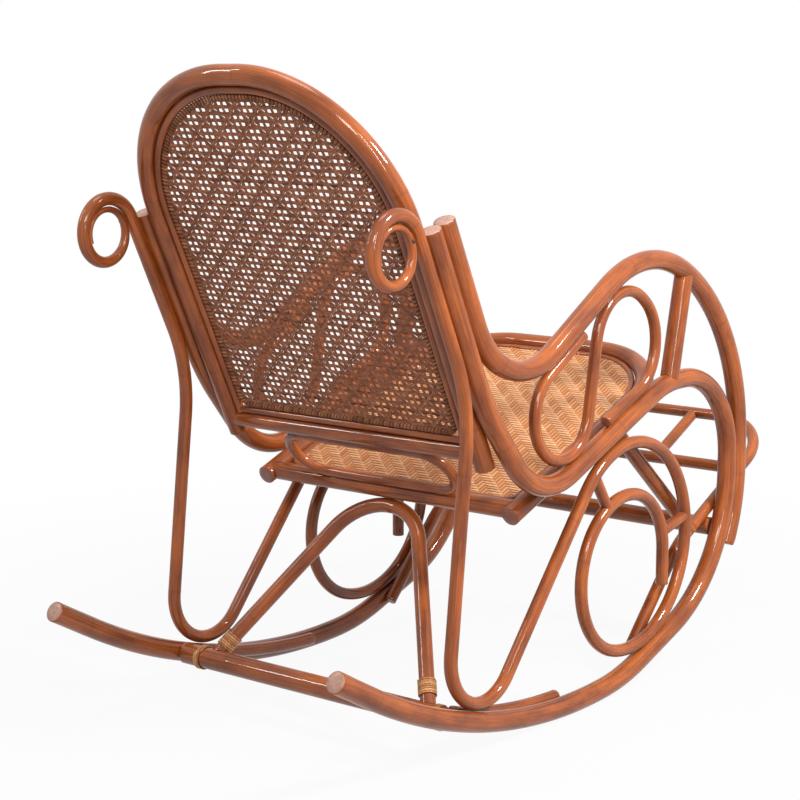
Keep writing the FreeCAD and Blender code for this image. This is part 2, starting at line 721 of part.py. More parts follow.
# Footrest: a cross rail, one pole bent to the frame and its two props, a bar, slats and two braces
foot_rail_drop = front.centre.y - size("foot_rail_z")
foot_rail_place = Vector(front.centre.x - math.sqrt(front.radius ** 2 - foot_rail_drop ** 2),
                         size("foot_rail_z"), 0)
keep(cross_rod("footrest_rail", foot_rail_place, between_poles, "foot_rail_dia"), "footrest_rail")
foot_way = tilted("footrest_tilt_angle")
foot_lift = foot_way.cross(AXIS_X) * pitch("foot_rail_dia", "footrest_dia")
foot_plane = plane(chair_point(0, foot_rail_place) + foot_lift, AXIS_X, foot_way)
foot_half = half_spacing - pitch("rocker_dia", "footrest_dia")


def foot_point(across, reach):
    """A point of the footrest's plane, a reach in front of the rail."""
    return foot_plane.multVec(Vector(across, reach, 0))


def foot_side(sign):
    """The corners of the footrest's pole on one side, from the runner to the front."""
    return [Vector(sign * foot_half, size("prop_foot_y"), size("prop_foot_z")),
            foot_point(sign * foot_half, -size("footrest_heel_run")),
            foot_point(sign * foot_half, size("footrest_length"))]


foot_radii = [size("footrest_heel_radius"), size("footrest_corner")]
foot_route = rounded(foot_side(LEFT) + foot_side(RIGHT)[::-1], foot_radii + foot_radii[::-1])
keep(sweep_pole("footrest_frame", foot_route, Placement(), "footrest_dia"), "footrest_frame")
bar_left = foot_point(foot_half, size("foot_bar_reach"))
bar_right = foot_point(-foot_half, size("foot_bar_reach"))
foot_bar = rod("footrest_bar", bar_right, bar_left, "foot_bar_dia")
foot_bar = coped(foot_bar, bar_left, foot_way, "footrest_dia")
keep(coped(foot_bar, bar_right, foot_way, "footrest_dia"), "footrest_bar")

for word, sign in SIDES.items():
    slat_x = sign * half("foot_slat_spacing")
    slat_low = foot_point(slat_x, size("foot_bar_reach"))
    slat_high = foot_point(slat_x, size("footrest_length"))
    slat = rod("footrest_slat_" + word, slat_low, slat_high, "foot_slat_dia")
    slat = coped(slat, slat_low, AXIS_X, "foot_bar_dia")
    keep(coped(slat, slat_high, AXIS_X, "footrest_dia"), "footrest_slat_" + word)

    brace_top = seat_plane.multVec(Vector(sign * seat_half, size("brace_seat_reach"), 0))
    brace_foot = foot_point(sign * foot_half, -size("brace_foot_run"))
    brace = rod("footrest_brace_" + word, brace_top, brace_foot, "brace_dia")
    brace = coped(brace, brace_top, seat_way, "seat_rail_dia")
    keep(coped(brace, brace_foot, foot_way, "footrest_dia"), "footrest_brace_" + word)


def biarc(start, start_way, finish, finish_way):
    """Two tangent arcs between two points with given directions."""
    across = finish - start
    both = start_way + finish_way
    spread = 2 * (1 - start_way.dot(finish_way))
    reach = (math.sqrt(across.dot(both) ** 2 + spread * across.dot(across)) - across.dot(both)) / spread
    first_corner = start + start_way * reach
    last_corner = finish - finish_way * reach
    joint = (first_corner + last_corner) * 0.5
    edges = []
    for begin, corner, stop in ((start, first_corner, joint), (joint, last_corner, finish)):
        chord = (stop - begin) * 0.5
        middle = begin + chord
        rise = corner - middle
        bend = math.atan2(rise.Length, chord.Length)
        edges.append(Part.Arc(begin, middle + rise.normalize() * (chord.Length * math.tan(bend / 2)),
                              stop).toShape())
    return edges


def self_gap(name, wire, turns, diameter):
    """Print the least clearance between points of a wound pole that are over half a turn apart."""
    steps = QUARTERS_PER_TURN * SAMPLES_PER_QUARTER
    samples = wire.discretize(Number=round(turns * steps))
    half_turn = steps // 2
    nearest = min((samples[far] - samples[near]).Length
                  for near in range(len(samples)) for far in range(near + half_turn, len(samples)))
    print("%s least gap to itself %.2f mm" % (name, nearest - size(diameter)))


def winding(name, place, core, turns):
    """One unbroken cane wound round a pole along the local Z axis, with short straight ends."""
    radius = half(core) + half("cane_dia") + size("fit_gap")
    quarters = QUARTERS_PER_TURN * round(size(turns))
    climb = size("cane_pitch") / (2 * math.pi)

    def at(quarter):
        angle = quarter * math.pi / 2
        point = Vector(radius * math.cos(angle), radius * math.sin(angle), climb * angle)
        way = Vector(-radius * math.sin(angle), radius * math.cos(angle), climb).normalize()
        return point, way

    begin, begin_way = at(0)
    finish, finish_way = at(quarters)
    lead_in = begin - begin_way * size("cane_dia")
    lead_out = finish + finish_way * size("cane_dia")
    edges = [Part.LineSegment(lead_in, begin).toShape()]
    for quarter in range(quarters):
        edges += biarc(*at(quarter), *at(quarter + 1))
    edges.append(Part.LineSegment(finish, lead_out).toShape())
    wire = Part.Wire(edges)
    ring = Part.Wire([Part.makeCircle(half("cane_dia"), lead_in, begin_way)])
    cane = doc.addObject("Part::Feature", name)
    cane.Shape = wire.makePipeShell([ring], True, False)
    cane.Placement = place
    self_gap(name, wire, size(turns), "cane_dia")
    return cane


# Cane bindings on the arch's feet, just clear of the stretcher, and on the stretcher beside them
cane_off = size("fit_gap") + half("cane_dia") + size("cope_ease")
for word, sign in SIDES.items():
    foot_out = size("arch_half_span") + sign * size("arch_shift")
    leg_way = tangent(end_at(Vector(foot_out, 0, 0)), arch_bend)[2]
    binding_way = arch_plane.Rotation.multVec(leg_way.scale(sign, 1, 0))
    arch_foot = arch_plane.multVec(Vector(sign * foot_out, 0, 0))
    binding_rise = half("stretcher_dia") + cane_off + (half("arch_dia") + cane_off) * abs(leg_way.x)
    binding_start = arch_foot + binding_way * (binding_rise / leg_way.y)
    keep(winding("arch_binding_" + word, Placement(binding_start, Rotation(AXIS_Z, binding_way)),
                 "arch_dia", "arch_binding_turns"), "arch_binding_" + word)
    wrap_start = chair_point(sign * (foot_out + size("stretcher_binding_out")), stretcher_place)
    keep(winding("stretcher_binding_" + word, Placement(wrap_start, Rotation(AXIS_Z, AXIS_X * sign)),
                 "stretcher_dia", "stretcher_binding_turns"), "stretcher_binding_" + word)

# A nail head on the inner turn of each head ring
taper_share = ring_taper.OrderedEdges[0].Length / ring_taper.Length
nail_seat_dia = size("ring_tip_dia") + (size("leg_dia") - size("ring_tip_dia")) * taper_share
nails = []
for word, sign in SIDES.items():
    base = chair_point(sign * (half_spacing + nail_seat_dia / 2 + size("nail_lift")), ring_front)
    nail = doc.addObject("Part::Cylinder", "ring_nail_" + word)
    nail.setExpression("Radius", "Sizes.nail_dia / 2")
    nail.setExpression("Height", "Sizes.nail_head")
    nail.Placement = Placement(base, Rotation(AXIS_Z, AXIS_X * sign))
    nails.append(nail)
nail_pair = doc.addObject("Part::MultiFuse", "ring_nails")
nail_pair.Shapes = nails
keep(nail_pair, "ring_nails")

doc.recompute()
for item in doc.Objects:
    if "Invalid" in item.State or "Error" in item.State:
        raise RuntimeError("%s failed: %s" % (item.Label, item.State))

# The origin is on the floor under the middle of the chair's length
boxes = [item.Shape.optimalBoundingBox(False, False) for item in subparts]
front_end = min(box.YMin for box in boxes)
rear_end = max(box.YMax for box in boxes)
centring = Vector(0, -(front_end + rear_end) / 2, 0)

os.makedirs("parts", exist_ok=True)
for item in subparts:
    shape = item.Shape.copy()
    shape.translate(centring)
    if shape.isNull() or not shape.isValid():
        raise RuntimeError("%s has no valid shape" % item.Label)
    shape.exportStep(os.path.join("parts", item.Label + ".step"))
print("%d sub-parts, length %.1f mm, centring %.2f mm" % (len(subparts), rear_end - front_end, centring.y))
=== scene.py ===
import math
import random

import bmesh
import bpy
from mathutils import Matrix, Vector


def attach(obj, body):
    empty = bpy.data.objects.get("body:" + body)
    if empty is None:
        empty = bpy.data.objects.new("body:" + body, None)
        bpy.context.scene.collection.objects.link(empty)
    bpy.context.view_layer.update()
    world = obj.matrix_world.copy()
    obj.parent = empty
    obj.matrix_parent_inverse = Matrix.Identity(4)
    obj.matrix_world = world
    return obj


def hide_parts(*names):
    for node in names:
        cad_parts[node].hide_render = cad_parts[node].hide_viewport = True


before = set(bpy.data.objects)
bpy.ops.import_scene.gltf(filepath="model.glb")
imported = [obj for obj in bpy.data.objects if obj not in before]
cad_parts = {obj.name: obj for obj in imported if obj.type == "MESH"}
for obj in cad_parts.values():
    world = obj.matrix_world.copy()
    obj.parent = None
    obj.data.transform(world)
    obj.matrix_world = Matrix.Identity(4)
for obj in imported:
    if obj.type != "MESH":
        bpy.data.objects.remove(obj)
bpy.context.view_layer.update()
print("frame loaded:", len(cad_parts), "nodes")

mm = 0.001
body = "root"
sides = {"left": 1, "right": -1}
acrossAxis = Vector((1, 0, 0))
rearAxis = Vector((0, 1, 0))
upAxis = Vector((0, 0, 1))

# sizes in millimetres, as the chair is made; rowShift brings them to the row's middle
chair = {"sideSpacing": 540, "fitGap": 0.3, "rowShift": -42.2014}
pole = {"ringStep": 5.0, "ringGap": 0.6, "around": 24, "thinBelow": 14, "thinAround": 16, "bevel": 0.9,
        "shrink": 0.12, "sharpAngle": 50, "cutSlack": 0.01, "grainShift": 60, "knuckleFirst": 40,
        "knuckleFrom": 230, "knuckleTo": 380, "knuckleClear": 12, "knuckleWidth": 3.4,
        "knuckleRings": (-2, -1, -0.5, 0, 0.5, 1, 2), "swell": 0.10}


def toRow(point):
    return Vector((point.x, point.y + chair["rowShift"], point.z)) * mm


def pitch(first, second):
    return first / 2 + second / 2 + chair["fitGap"]


def seatRadius(diameter):
    return diameter / 2 + chair["fitGap"]


def turned(degrees, length=1.0):
    return Vector((length * math.cos(math.radians(degrees)), length * math.sin(math.radians(degrees))))


def leftOf(way):
    return Vector((-way.y, way.x))


def beside(start, normal, across, distance):
    return Vector((across, start.y + (distance - (across - start.x) * normal.x) / normal.y))


# runs and turns smaller than these are left out of a route
route = {"leastRun": 0.01, "leastTurn": 0.0001}


# a former is a round that a pole is bent on: way is 1 for a left turn and -1 for a right turn
def former(centre, radius, way):
    return {"centre": Vector(centre), "radius": radius, "way": way}


def endAt(point):
    return former(point, 0.0, 1)


def straightRun(first, second):
    across = second["centre"] - first["centre"]
    firstOff = first["radius"] * first["way"]
    secondOff = second["radius"] * second["way"]
    lean = max(-1.0, min(1.0, (secondOff - firstOff) / across.length))
    heading = math.atan2(across.y, across.x) - math.asin(lean)
    along = Vector((math.cos(heading), math.sin(heading)))
    side = leftOf(along)
    return first["centre"] - side * firstOff, second["centre"] - side * secondOff, along


# an arc that starts at a point off its centre, heads a given way and turns by an angle
def arcLeg(centre, out, ahead, sweep):
    return {"centre": centre, "radius": out.length, "out": out.normalized(), "ahead": ahead.normalized(),
            "length": out.length * sweep}


def halfTurn(start, finish):
    out = (start - finish) / 2
    return arcLeg((start + finish) / 2, out, leftOf(out), math.pi)


# straight runs through a row of points in space, with each inner corner bent to its own radius
def followCorners(corners, radii):
    legs = []
    leaving = corners[0]
    for before, corner, after, radius in zip(corners, corners[1:], corners[2:], radii):
        backWay = (before - corner).normalized()
        onWay = (after - corner).normalized()
        halfAngle = backWay.angle(onWay) / 2
        arriving = corner + backWay * (radius / math.tan(halfAngle))
        centre = corner + (backWay + onWay).normalized() * (radius / math.sin(halfAngle))
        legs.append({"start": leaving, "along": -backWay, "length": (arriving - leaving).length})
        legs.append(arcLeg(centre, arriving - centre, -backWay, math.pi - 2 * halfAngle))
        leaving = corner + onWay * (radius / math.tan(halfAngle))
    last = corners[-1] - leaving
    legs.append({"start": leaving, "along": last.normalized(), "length": last.length})
    return legs


# straight runs and tangent arcs over a list of formers
def followFormers(formers, closed=False):
    following = formers[1:] + formers[:1] if closed else formers[1:]
    runs = [straightRun(first, second) for first, second in zip(formers, following)]
    legs = []
    for number, (start, finish, along) in enumerate(runs):
        length = (finish - start).length
        if length > route["leastRun"]:
            legs.append({"start": start, "along": along, "length": length})
        if closed or number + 1 < len(runs):
            turn = following[number]
            leaving = runs[(number + 1) % len(runs)][0]
            first = finish - turn["centre"]
            last = leaving - turn["centre"]
            sweep = turn["way"] * (math.atan2(last.y, last.x) - math.atan2(first.y, first.x))
            sweep %= 2 * math.pi
            if route["leastTurn"] < sweep < 2 * math.pi - route["leastTurn"]:
                legs.append(arcLeg(turn["centre"], first, leftOf(first) * turn["way"], sweep))
    return legs


def straightLine(length):
    return [{"start": Vector((0, 0)), "along": Vector((1, 0)), "length": length}]


def routeLength(legs):
    return sum(leg["length"] for leg in legs)


def pointOn(legs, distance):
    for leg in legs:
        if distance <= leg["length"] or leg is legs[-1]:
            if "start" in leg:
                return leg["start"] + leg["along"] * distance, leg["along"]
            angle = distance / leg["radius"]
            out = leg["out"] * math.cos(angle) + leg["ahead"] * math.sin(angle)
            along = leg["ahead"] * math.cos(angle) - leg["out"] * math.sin(angle)
            return leg["centre"] + out * leg["radius"], along
        distance -= leg["length"]


# a plane with its own across and upward directions, for routes drawn flat
def plane(origin, across, upward):
    return {"origin": Vector(origin), "across": Vector(across), "upward": Vector(upward),
            "normal": Vector(across).cross(Vector(upward))}


def onPlane(place, point):
    return place["origin"] + place["across"] * point.x + place["upward"] * point.y


def turnOnPlane(place, way):
    return place["across"] * way.x + place["upward"] * way.y


def linePlane(start, finish):
    along = (finish - start).normalized()
    steep = 0.9
    helper = upAxis if abs(along.z) < steep else acrossAxis
    return plane(start, along, helper.cross(along).normalized())


def addPiece(name, points, faces, finishes, faceFinish=None):
    mesh = bpy.data.meshes.new(name)
    mesh.from_pydata([toRow(point) for point in points], [], faces)
    for finish in finishes:
        mesh.materials.append(finish)
    if faceFinish:
        mesh.polygons.foreach_set("material_index", faceFinish)
    mesh.polygons.foreach_set("use_smooth", [True] * len(faces))
    mesh.update()
    piece = bpy.data.objects.new(name, mesh)
    bpy.context.scene.collection.objects.link(piece)
    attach(piece, body)
    return piece


def paint(piece, name, kind, values):
    made = piece.data.attributes.new(name, kind, "POINT")
    if kind == "FLOAT":
        made.data.foreach_set("value", values)
    else:
        made.data.foreach_set("vector", [number for value in values for number in value])


# where a pole's knuckles stand, and the rings of points that carry them
def knucklePlaces(length, chance):
    places = []
    place = chance.uniform(pole["knuckleFirst"], pole["knuckleTo"])
    while place < length - pole["knuckleClear"]:
        places.append(place)
        place += chance.uniform(pole["knuckleFrom"], pole["knuckleTo"])
    return places


def ringStations(length, knuckles, closed):
    count = max(2, round(length / pole["ringStep"]))
    stations = [length * number / count for number in range(count if closed else count + 1)]
    for place in knuckles:
        for offset in pole["knuckleRings"]:
            stations.append(place + offset * pole["knuckleWidth"])
    stations = sorted(station for station in stations if 0 <= station <= length)
    kept = [stations[0]]
    for station in stations[1:]:
        if station - kept[-1] > pole["ringGap"]:
            kept.append(station)
    return kept


# the end of a pole hollowed to sit on a round pole that crosses it
def seatOn(points, outward, seat):
    centre, along, radius = seat
    along = along.normalized()
    seated = []
    for point in points:
        gap = point - centre
        gap = gap - along * gap.dot(along)
        way = outward - along * outward.dot(along)
        first = way.dot(way)
        middle = gap.dot(way)
        inside = middle * middle - first * (gap.dot(gap) - radius * radius)
        seated.append(point + outward * ((-middle - math.sqrt(max(0.0, inside))) / first))
    return seated


# four-sided faces between rings of points; a closed tube joins its last ring to its first
def ringFaces(rings, around, closed=False, start=0):
    faces = []
    for row in range(rings if closed else rings - 1):
        here = start + row * around
        there = start + (row + 1) % rings * around
        for step in range(around):
            after = (step + 1) % around
            faces.append((here + step, here + after, there + after, there + step))
    return faces


# one bent pole: rings of points along its route, knuckles, and cut or hollowed ends
# a route without a plane is drawn in space, and a taper is a tip's diameter and the length it takes
def makePole(name, legs, place, diameter, finishes, closed=False, seats=(None, None), taper=None):
    chance = random.Random(name)
    length = routeLength(legs)
    thick = diameter > pole["thinBelow"]
    around = pole["around"] if thick else pole["thinAround"]
    radius = diameter / 2 - pole["shrink"]
    knuckles = knucklePlaces(length, chance) if thick else []
    stations = ringStations(length, knuckles, closed)
    if not closed:
        near = pole["bevel"]
        low = near if not seats[0] else seats[0][2] + 2 * diameter
        high = length - (near if not seats[1] else seats[1][2] + 2 * diameter)
        stations = [station for station in stations if low + near < station < high - near]
        first = [0.0] if seats[0] else [0.0, near]
        last = [length] if seats[1] else [length - near, length]
        stations = first + stations + last
    offset = chance.uniform(0, pole["grainShift"])
    turn = chance.uniform(0, 2 * math.pi)
    points, straight, knuckleMask = [], [], []
    normal = Vector(place["normal"]) if place else acrossAxis.copy()
    before = None
    for number, station in enumerate(stations):
        centre, along = pointOn(legs, station)
        if place:
            centre, along = onPlane(place, centre), turnOnPlane(place, along)
        if before:
            normal.rotate(before.rotation_difference(along))
        before = along
        side = normal.cross(along).normalized()
        masks = [math.exp(-((station - spot) / pole["knuckleWidth"]) ** 2) for spot in knuckles]
        mask = max(masks or [0.0])
        ring = radius + pole["swell"] * mask
        if taper and station < taper["length"]:
            ring += (taper["diameter"] - diameter) / 2 * (1 - station / taper["length"])
        cutEnd = not closed and ((number == 0 and not seats[0])
                                 or (number == len(stations) - 1 and not seats[1]))
        if cutEnd:
            ring -= pole["bevel"]
        made = []
        for step in range(around):
            angle = 2 * math.pi * step / around
            made.append(centre + (side * math.cos(angle) + normal * math.sin(angle)) * ring)
            straight.append((ring * math.cos(angle + turn) * mm, ring * math.sin(angle + turn) * mm,
                             station * mm + offset))
            knuckleMask.append(mask)
        if not closed and number == 0 and seats[0]:
            made = seatOn(made, -along, seats[0])
        if not closed and number == len(stations) - 1 and seats[1]:
            made = seatOn(made, along, seats[1])
        points += made
    faces = ringFaces(len(stations), around, closed)
    faceFinish = [0] * len(faces)
    if not closed:
        for row, flip in ((0, True), (len(stations) - 1, False)):
            ring = points[row * around:(row + 1) * around]
            middle = sum(ring, Vector()) / around
            start = len(points)
            points += [middle * 0.5 + point * 0.5 for point in ring] + [middle]
            rim = straight[row * around:(row + 1) * around]
            straight += [(across * 0.5, upward * 0.5, down) for across, upward, down in rim]
            straight.append((0.0, 0.0, rim[0][2]))
            knuckleMask += [0.0] * (around + 1)
            for step in range(around):
                after = (step + 1) % around
                outer = (row * around + step, row * around + after, start + after, start + step)
                core = (start + step, start + after, start + around)
                for face in (outer, core):
                    faces.append(tuple(reversed(face)) if flip else face)
                    faceFinish.append(1)
    piece = addPiece(name, points, faces, finishes, faceFinish)
    paint(piece, "straightPole", "FLOAT_VECTOR", straight)
    paint(piece, "knuckle", "FLOAT", knuckleMask)
    piece.data.set_sharp_from_angle(angle=math.radians(pole["sharpAngle"]))
    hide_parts(name.replace("looks_", ""))
    return piece


def makeBent(name, legs, place, diameter, closed=False, seats=(None, None), taper=None, pale=False):
    finishes = [rattanFinish, paleEndGrain if pale else darkEndGrain]
    return makePole("looks_" + name, legs, place, diameter, finishes, closed, seats, taper)


def makeRod(name, start, finish, diameter, seats=(None, None)):
    legs = straightLine((finish - start).length)
    return makeBent(name, legs, linePlane(start, finish), diameter, seats=seats)


# a slanting cut near a pole's end: what lies past the cut is taken off and the cut is closed
def cutSlantwise(piece, point, pastCut, reach):
    spot = toRow(point)
    mesh = bmesh.new()
    mesh.from_mesh(piece.data)
    faces = [face for face in mesh.faces if (face.calc_center_median() - spot).length < reach * mm]
    edges = dict.fromkeys(edge for face in faces for edge in face.edges)
    corners = dict.fromkeys(corner for face in faces for corner in face.verts)
    cut = bmesh.ops.bisect_plane(mesh, geom=list(corners) + list(edges) + faces, dist=pole["cutSlack"] * mm,
                                 plane_co=spot, plane_no=pastCut, clear_outer=True)
    rim = [item for item in cut["geom_cut"] if isinstance(item, bmesh.types.BMEdge)]
    for face in bmesh.ops.edgeloop_fill(mesh, edges=rim, mat_nr=1)["faces"]:
        face.smooth = False
    mesh.to_mesh(piece.data)
    mesh.free()
    piece.data.set_sharp_from_angle(angle=math.radians(pole["sharpAngle"]))


# shader helpers
def newFinish(name):
    finish = bpy.data.materials.new(name)
    finish.use_nodes = True
    return finish, finish.node_tree, finish.node_tree.nodes["Principled BSDF"]


def addNode(tree, kind, **settings):
    node = tree.nodes.new(kind)
    for key, value in settings.items():
        setattr(node, key, value)
    return node


def setInputs(node, **values):
    for key, value in values.items():
        node.inputs[key].default_value = value


def feed(tree, socket, value):
    if isinstance(value, bpy.types.NodeSocket):
        tree.links.new(value, socket)
    else:
        socket.default_value = value


# a colour Mix node has its colours on inputs 6 and 7 and its result on output 2
def blendColours(tree, amount, first, second):
    mix = addNode(tree, "ShaderNodeMix", data_type="RGBA", blend_type="MIX")
    feed(tree, mix.inputs[0], amount)
    feed(tree, mix.inputs[6], first)
    feed(tree, mix.inputs[7], second)
    return mix.outputs[2]


def spread(tree, value, low, high, outLow=0.0, outHigh=1.0):
    node = addNode(tree, "ShaderNodeMapRange")
    tree.links.new(value, node.inputs[0])
    for socket, number in zip(node.inputs[1:5], (low, high, outLow, outHigh)):
        socket.default_value = number
    return node.outputs[0]


def calc(tree, operation, first, second):
    node = addNode(tree, "ShaderNodeMath", operation=operation)
    feed(tree, node.inputs[0], first)
    feed(tree, node.inputs[1], second)
    return node.outputs[0]


# long fibres and soft blotches that all the cane and rattan finishes share
fibreLook = {"detail": 4.0, "roughness": 0.6, "blotchDraw": (1.0, 1.0, 0.28), "blotchScale": 46.0,
             "blotchDetail": 3.0, "blotchRoughness": 0.55, "glossBand": (0.3, 0.7)}


def makeFibreGroup():
    tree = bpy.data.node_groups.new("caneFibres", "ShaderNodeTree")
    tree.interface.new_socket("Place", in_out="INPUT", socket_type="NodeSocketVector")
    for name in ("Fineness", "Stretch"):
        tree.interface.new_socket(name, in_out="INPUT", socket_type="NodeSocketFloat")
    for name in ("Fibre", "Blotch"):
        tree.interface.new_socket(name, in_out="OUTPUT", socket_type="NodeSocketFloat")
    entry = tree.nodes.new("NodeGroupInput")
    leave = tree.nodes.new("NodeGroupOutput")
    longWays = addNode(tree, "ShaderNodeCombineXYZ")
    longWays.inputs[0].default_value = 1.0
    longWays.inputs[1].default_value = 1.0
    tree.links.new(entry.outputs["Stretch"], longWays.inputs[2])
    drawn = addNode(tree, "ShaderNodeVectorMath", operation="MULTIPLY")
    tree.links.new(entry.outputs["Place"], drawn.inputs[0])
    tree.links.new(longWays.outputs[0], drawn.inputs[1])
    fibre = addNode(tree, "ShaderNodeTexNoise")
    setInputs(fibre, Detail=fibreLook["detail"], Roughness=fibreLook["roughness"])
    tree.links.new(drawn.outputs[0], fibre.inputs["Vector"])
    tree.links.new(entry.outputs["Fineness"], fibre.inputs["Scale"])
    tree.links.new(fibre.outputs["Fac"], leave.inputs["Fibre"])
    wide = addNode(tree, "ShaderNodeVectorMath", operation="MULTIPLY")
    wide.inputs[1].default_value = fibreLook["blotchDraw"]
    tree.links.new(entry.outputs["Place"], wide.inputs[0])
    blotch = addNode(tree, "ShaderNodeTexNoise")
    setInputs(blotch, Scale=fibreLook["blotchScale"], Detail=fibreLook["blotchDetail"],
              Roughness=fibreLook["blotchRoughness"])
    tree.links.new(wide.outputs[0], blotch.inputs["Vector"])
    tree.links.new(blotch.outputs["Fac"], leave.inputs["Blotch"])
    return tree


fibreGroup = makeFibreGroup()


def placeFibres(tree, fineness, stretch):
    reader = addNode(tree, "ShaderNodeAttribute", attribute_name="straightPole")
    fibres = addNode(tree, "ShaderNodeGroup", node_tree=fibreGroup)
    tree.links.new(reader.outputs["Vector"], fibres.inputs["Place"])
    setInputs(fibres, Fineness=fineness, Stretch=stretch)
    return fibres


def addBump(tree, shader, height, strength, depth):
    bump = addNode(tree, "ShaderNodeBump")
    setInputs(bump, Strength=strength, Distance=depth)
    tree.links.new(height, bump.inputs["Height"])
    tree.links.new(bump.outputs[0], shader.inputs["Normal"])


def setGloss(tree, shader, fibre, look):
    gloss = spread(tree, fibre, *fibreLook["glossBand"], *look["roughness"])
    tree.links.new(gloss, shader.inputs["Roughness"])
    shader.inputs["Specular IOR Level"].default_value = look["specular"]
    shader.inputs["Coat Weight"].default_value = look["coat"]
    shader.inputs["Coat Roughness"].default_value = look["coatRoughness"]


# lacquered rattan of the bent poles
rattanLook = {"deep": (0.070, 0.011, 0.0045, 1), "cognac": (0.252, 0.052, 0.0092, 1),
              "amber": (0.470, 0.120, 0.0185, 1), "knuckle": (0.085, 0.022, 0.010, 1),
              "fibres": (520.0, 0.012), "streak": (0.30, 0.70), "cloud": (0.36, 0.68), "cloudDepth": 0.62,
              "hairFibres": (1500.0, 0.02), "hair": (0.52, 0.74, 0.0, 0.24),
              "knuckleBand": (0.30, 1.0, 0.0, 0.22), "roughness": (0.42, 0.60), "specular": 0.12,
              "coat": 0.65, "coatRoughness": 0.05, "bump": (0.22, 0.0006)}


def makeRattan():
    finish, tree, shader = newFinish("lacqueredRattan")
    fibres = placeFibres(tree, *rattanLook["fibres"])
    streak = spread(tree, fibres.outputs["Fibre"], *rattanLook["streak"])
    cloud = spread(tree, fibres.outputs["Blotch"], *rattanLook["cloud"])
    colour = blendColours(tree, streak, rattanLook["cognac"], rattanLook["amber"])
    shade = calc(tree, "MULTIPLY", cloud, rattanLook["cloudDepth"])
    colour = blendColours(tree, shade, colour, rattanLook["deep"])
    fine = placeFibres(tree, *rattanLook["hairFibres"])
    hair = spread(tree, fine.outputs["Fibre"], *rattanLook["hair"])
    colour = blendColours(tree, hair, colour, rattanLook["deep"])
    knuckle = addNode(tree, "ShaderNodeAttribute", attribute_name="knuckle")
    ring = spread(tree, knuckle.outputs["Fac"], *rattanLook["knuckleBand"])
    colour = blendColours(tree, ring, colour, rattanLook["knuckle"])
    tree.links.new(colour, shader.inputs["Base Color"])
    setGloss(tree, shader, fibres.outputs["Fibre"], rattanLook)
    grain = calc(tree, "ADD", fibres.outputs["Fibre"], fine.outputs["Fibre"])
    addBump(tree, shader, grain, *rattanLook["bump"])
    return finish


# the cut end of a pole, dotted with the ends of its fibre bundles
cutEndLook = {"dotScale": 720.0, "dots": (0.18, 0.42, 0.75, 0.0), "stainScale": 160.0, "stainDetail": 3.0,
              "stain": (0.42, 0.72, 0.0, 0.5), "roughness": 0.42, "coat": 0.35, "coatRoughness": 0.25,
              "bump": (0.3, 0.0004)}
paleEnd = {"pith": (0.480, 0.260, 0.185, 1), "bundle": (0.270, 0.120, 0.075, 1),
           "skin": (0.220, 0.080, 0.042, 1)}
# a darker copy of the cut end for every pole but the rocker and arm poles; its darkness is partly dark
# lacquer and partly painted shade
darkEndLook = {"pith": (0.230, 0.070, 0.036, 1), "bundle": (0.120, 0.032, 0.017, 1),
              "skin": (0.150, 0.040, 0.020, 1)}


def makeEndGrain(name, look):
    finish, tree, shader = newFinish(name)
    reader = addNode(tree, "ShaderNodeAttribute", attribute_name="straightPole")
    dots = addNode(tree, "ShaderNodeTexVoronoi", feature="F1")
    setInputs(dots, Scale=cutEndLook["dotScale"])
    tree.links.new(reader.outputs["Vector"], dots.inputs["Vector"])
    dot = spread(tree, dots.outputs["Distance"], *cutEndLook["dots"])
    stain = addNode(tree, "ShaderNodeTexNoise")
    setInputs(stain, Scale=cutEndLook["stainScale"], Detail=cutEndLook["stainDetail"])
    tree.links.new(reader.outputs["Vector"], stain.inputs["Vector"])
    stained = spread(tree, stain.outputs["Fac"], *cutEndLook["stain"])
    colour = blendColours(tree, stained, look["pith"], look["skin"])
    colour = blendColours(tree, dot, colour, look["bundle"])
    tree.links.new(colour, shader.inputs["Base Color"])
    shader.inputs["Roughness"].default_value = cutEndLook["roughness"]
    shader.inputs["Coat Weight"].default_value = cutEndLook["coat"]
    shader.inputs["Coat Roughness"].default_value = cutEndLook["coatRoughness"]
    addBump(tree, shader, dots.outputs["Distance"], *cutEndLook["bump"])
    return finish


rattanFinish = makeRattan()
paleEndGrain = makeEndGrain("paleCutEnd", paleEnd)
darkEndGrain = makeEndGrain("darkCutEnd", darkEndLook)
print("rattan finishes made")


# split cane: the same fibres on a strip, with a tone of its own on each strip; the tone attribute also
# carries painted shade at strip edges and in grooves, which draws the colour towards the gap colour
caneLook = {"middleTone": 0.5, "stretch": 0.02, "streak": (0.46, 0.72, 0.0, 0.40), "cloud": (0.45, 0.72),
            "coatRoughness": 0.18, "bump": (0.35, 0.0004)}


def makeCane(name, ownLook):
    look = {**caneLook, **ownLook}
    finish, tree, shader = newFinish(name)
    fibres = placeFibres(tree, look["fineness"], look["stretch"])
    tone = addNode(tree, "ShaderNodeAttribute", attribute_name="toneAndPaintedShade")
    darker = spread(tree, tone.outputs["Fac"], 0.0, look["middleTone"])
    colour = blendColours(tree, darker, look["gap"], look["middle"])
    lighter = spread(tree, tone.outputs["Fac"], look["middleTone"], 1.0)
    colour = blendColours(tree, lighter, colour, look["light"])
    streak = spread(tree, fibres.outputs["Fibre"], *look["streak"])
    colour = blendColours(tree, streak, colour, look["gap"])
    cloud = spread(tree, fibres.outputs["Blotch"], *look["cloud"], 0.0, look["stain"])
    colour = blendColours(tree, cloud, colour, look["middle"])
    tree.links.new(colour, shader.inputs["Base Color"])
    setGloss(tree, shader, fibres.outputs["Fibre"], look)
    addBump(tree, shader, fibres.outputs["Fibre"], *look["bump"])
    return finish


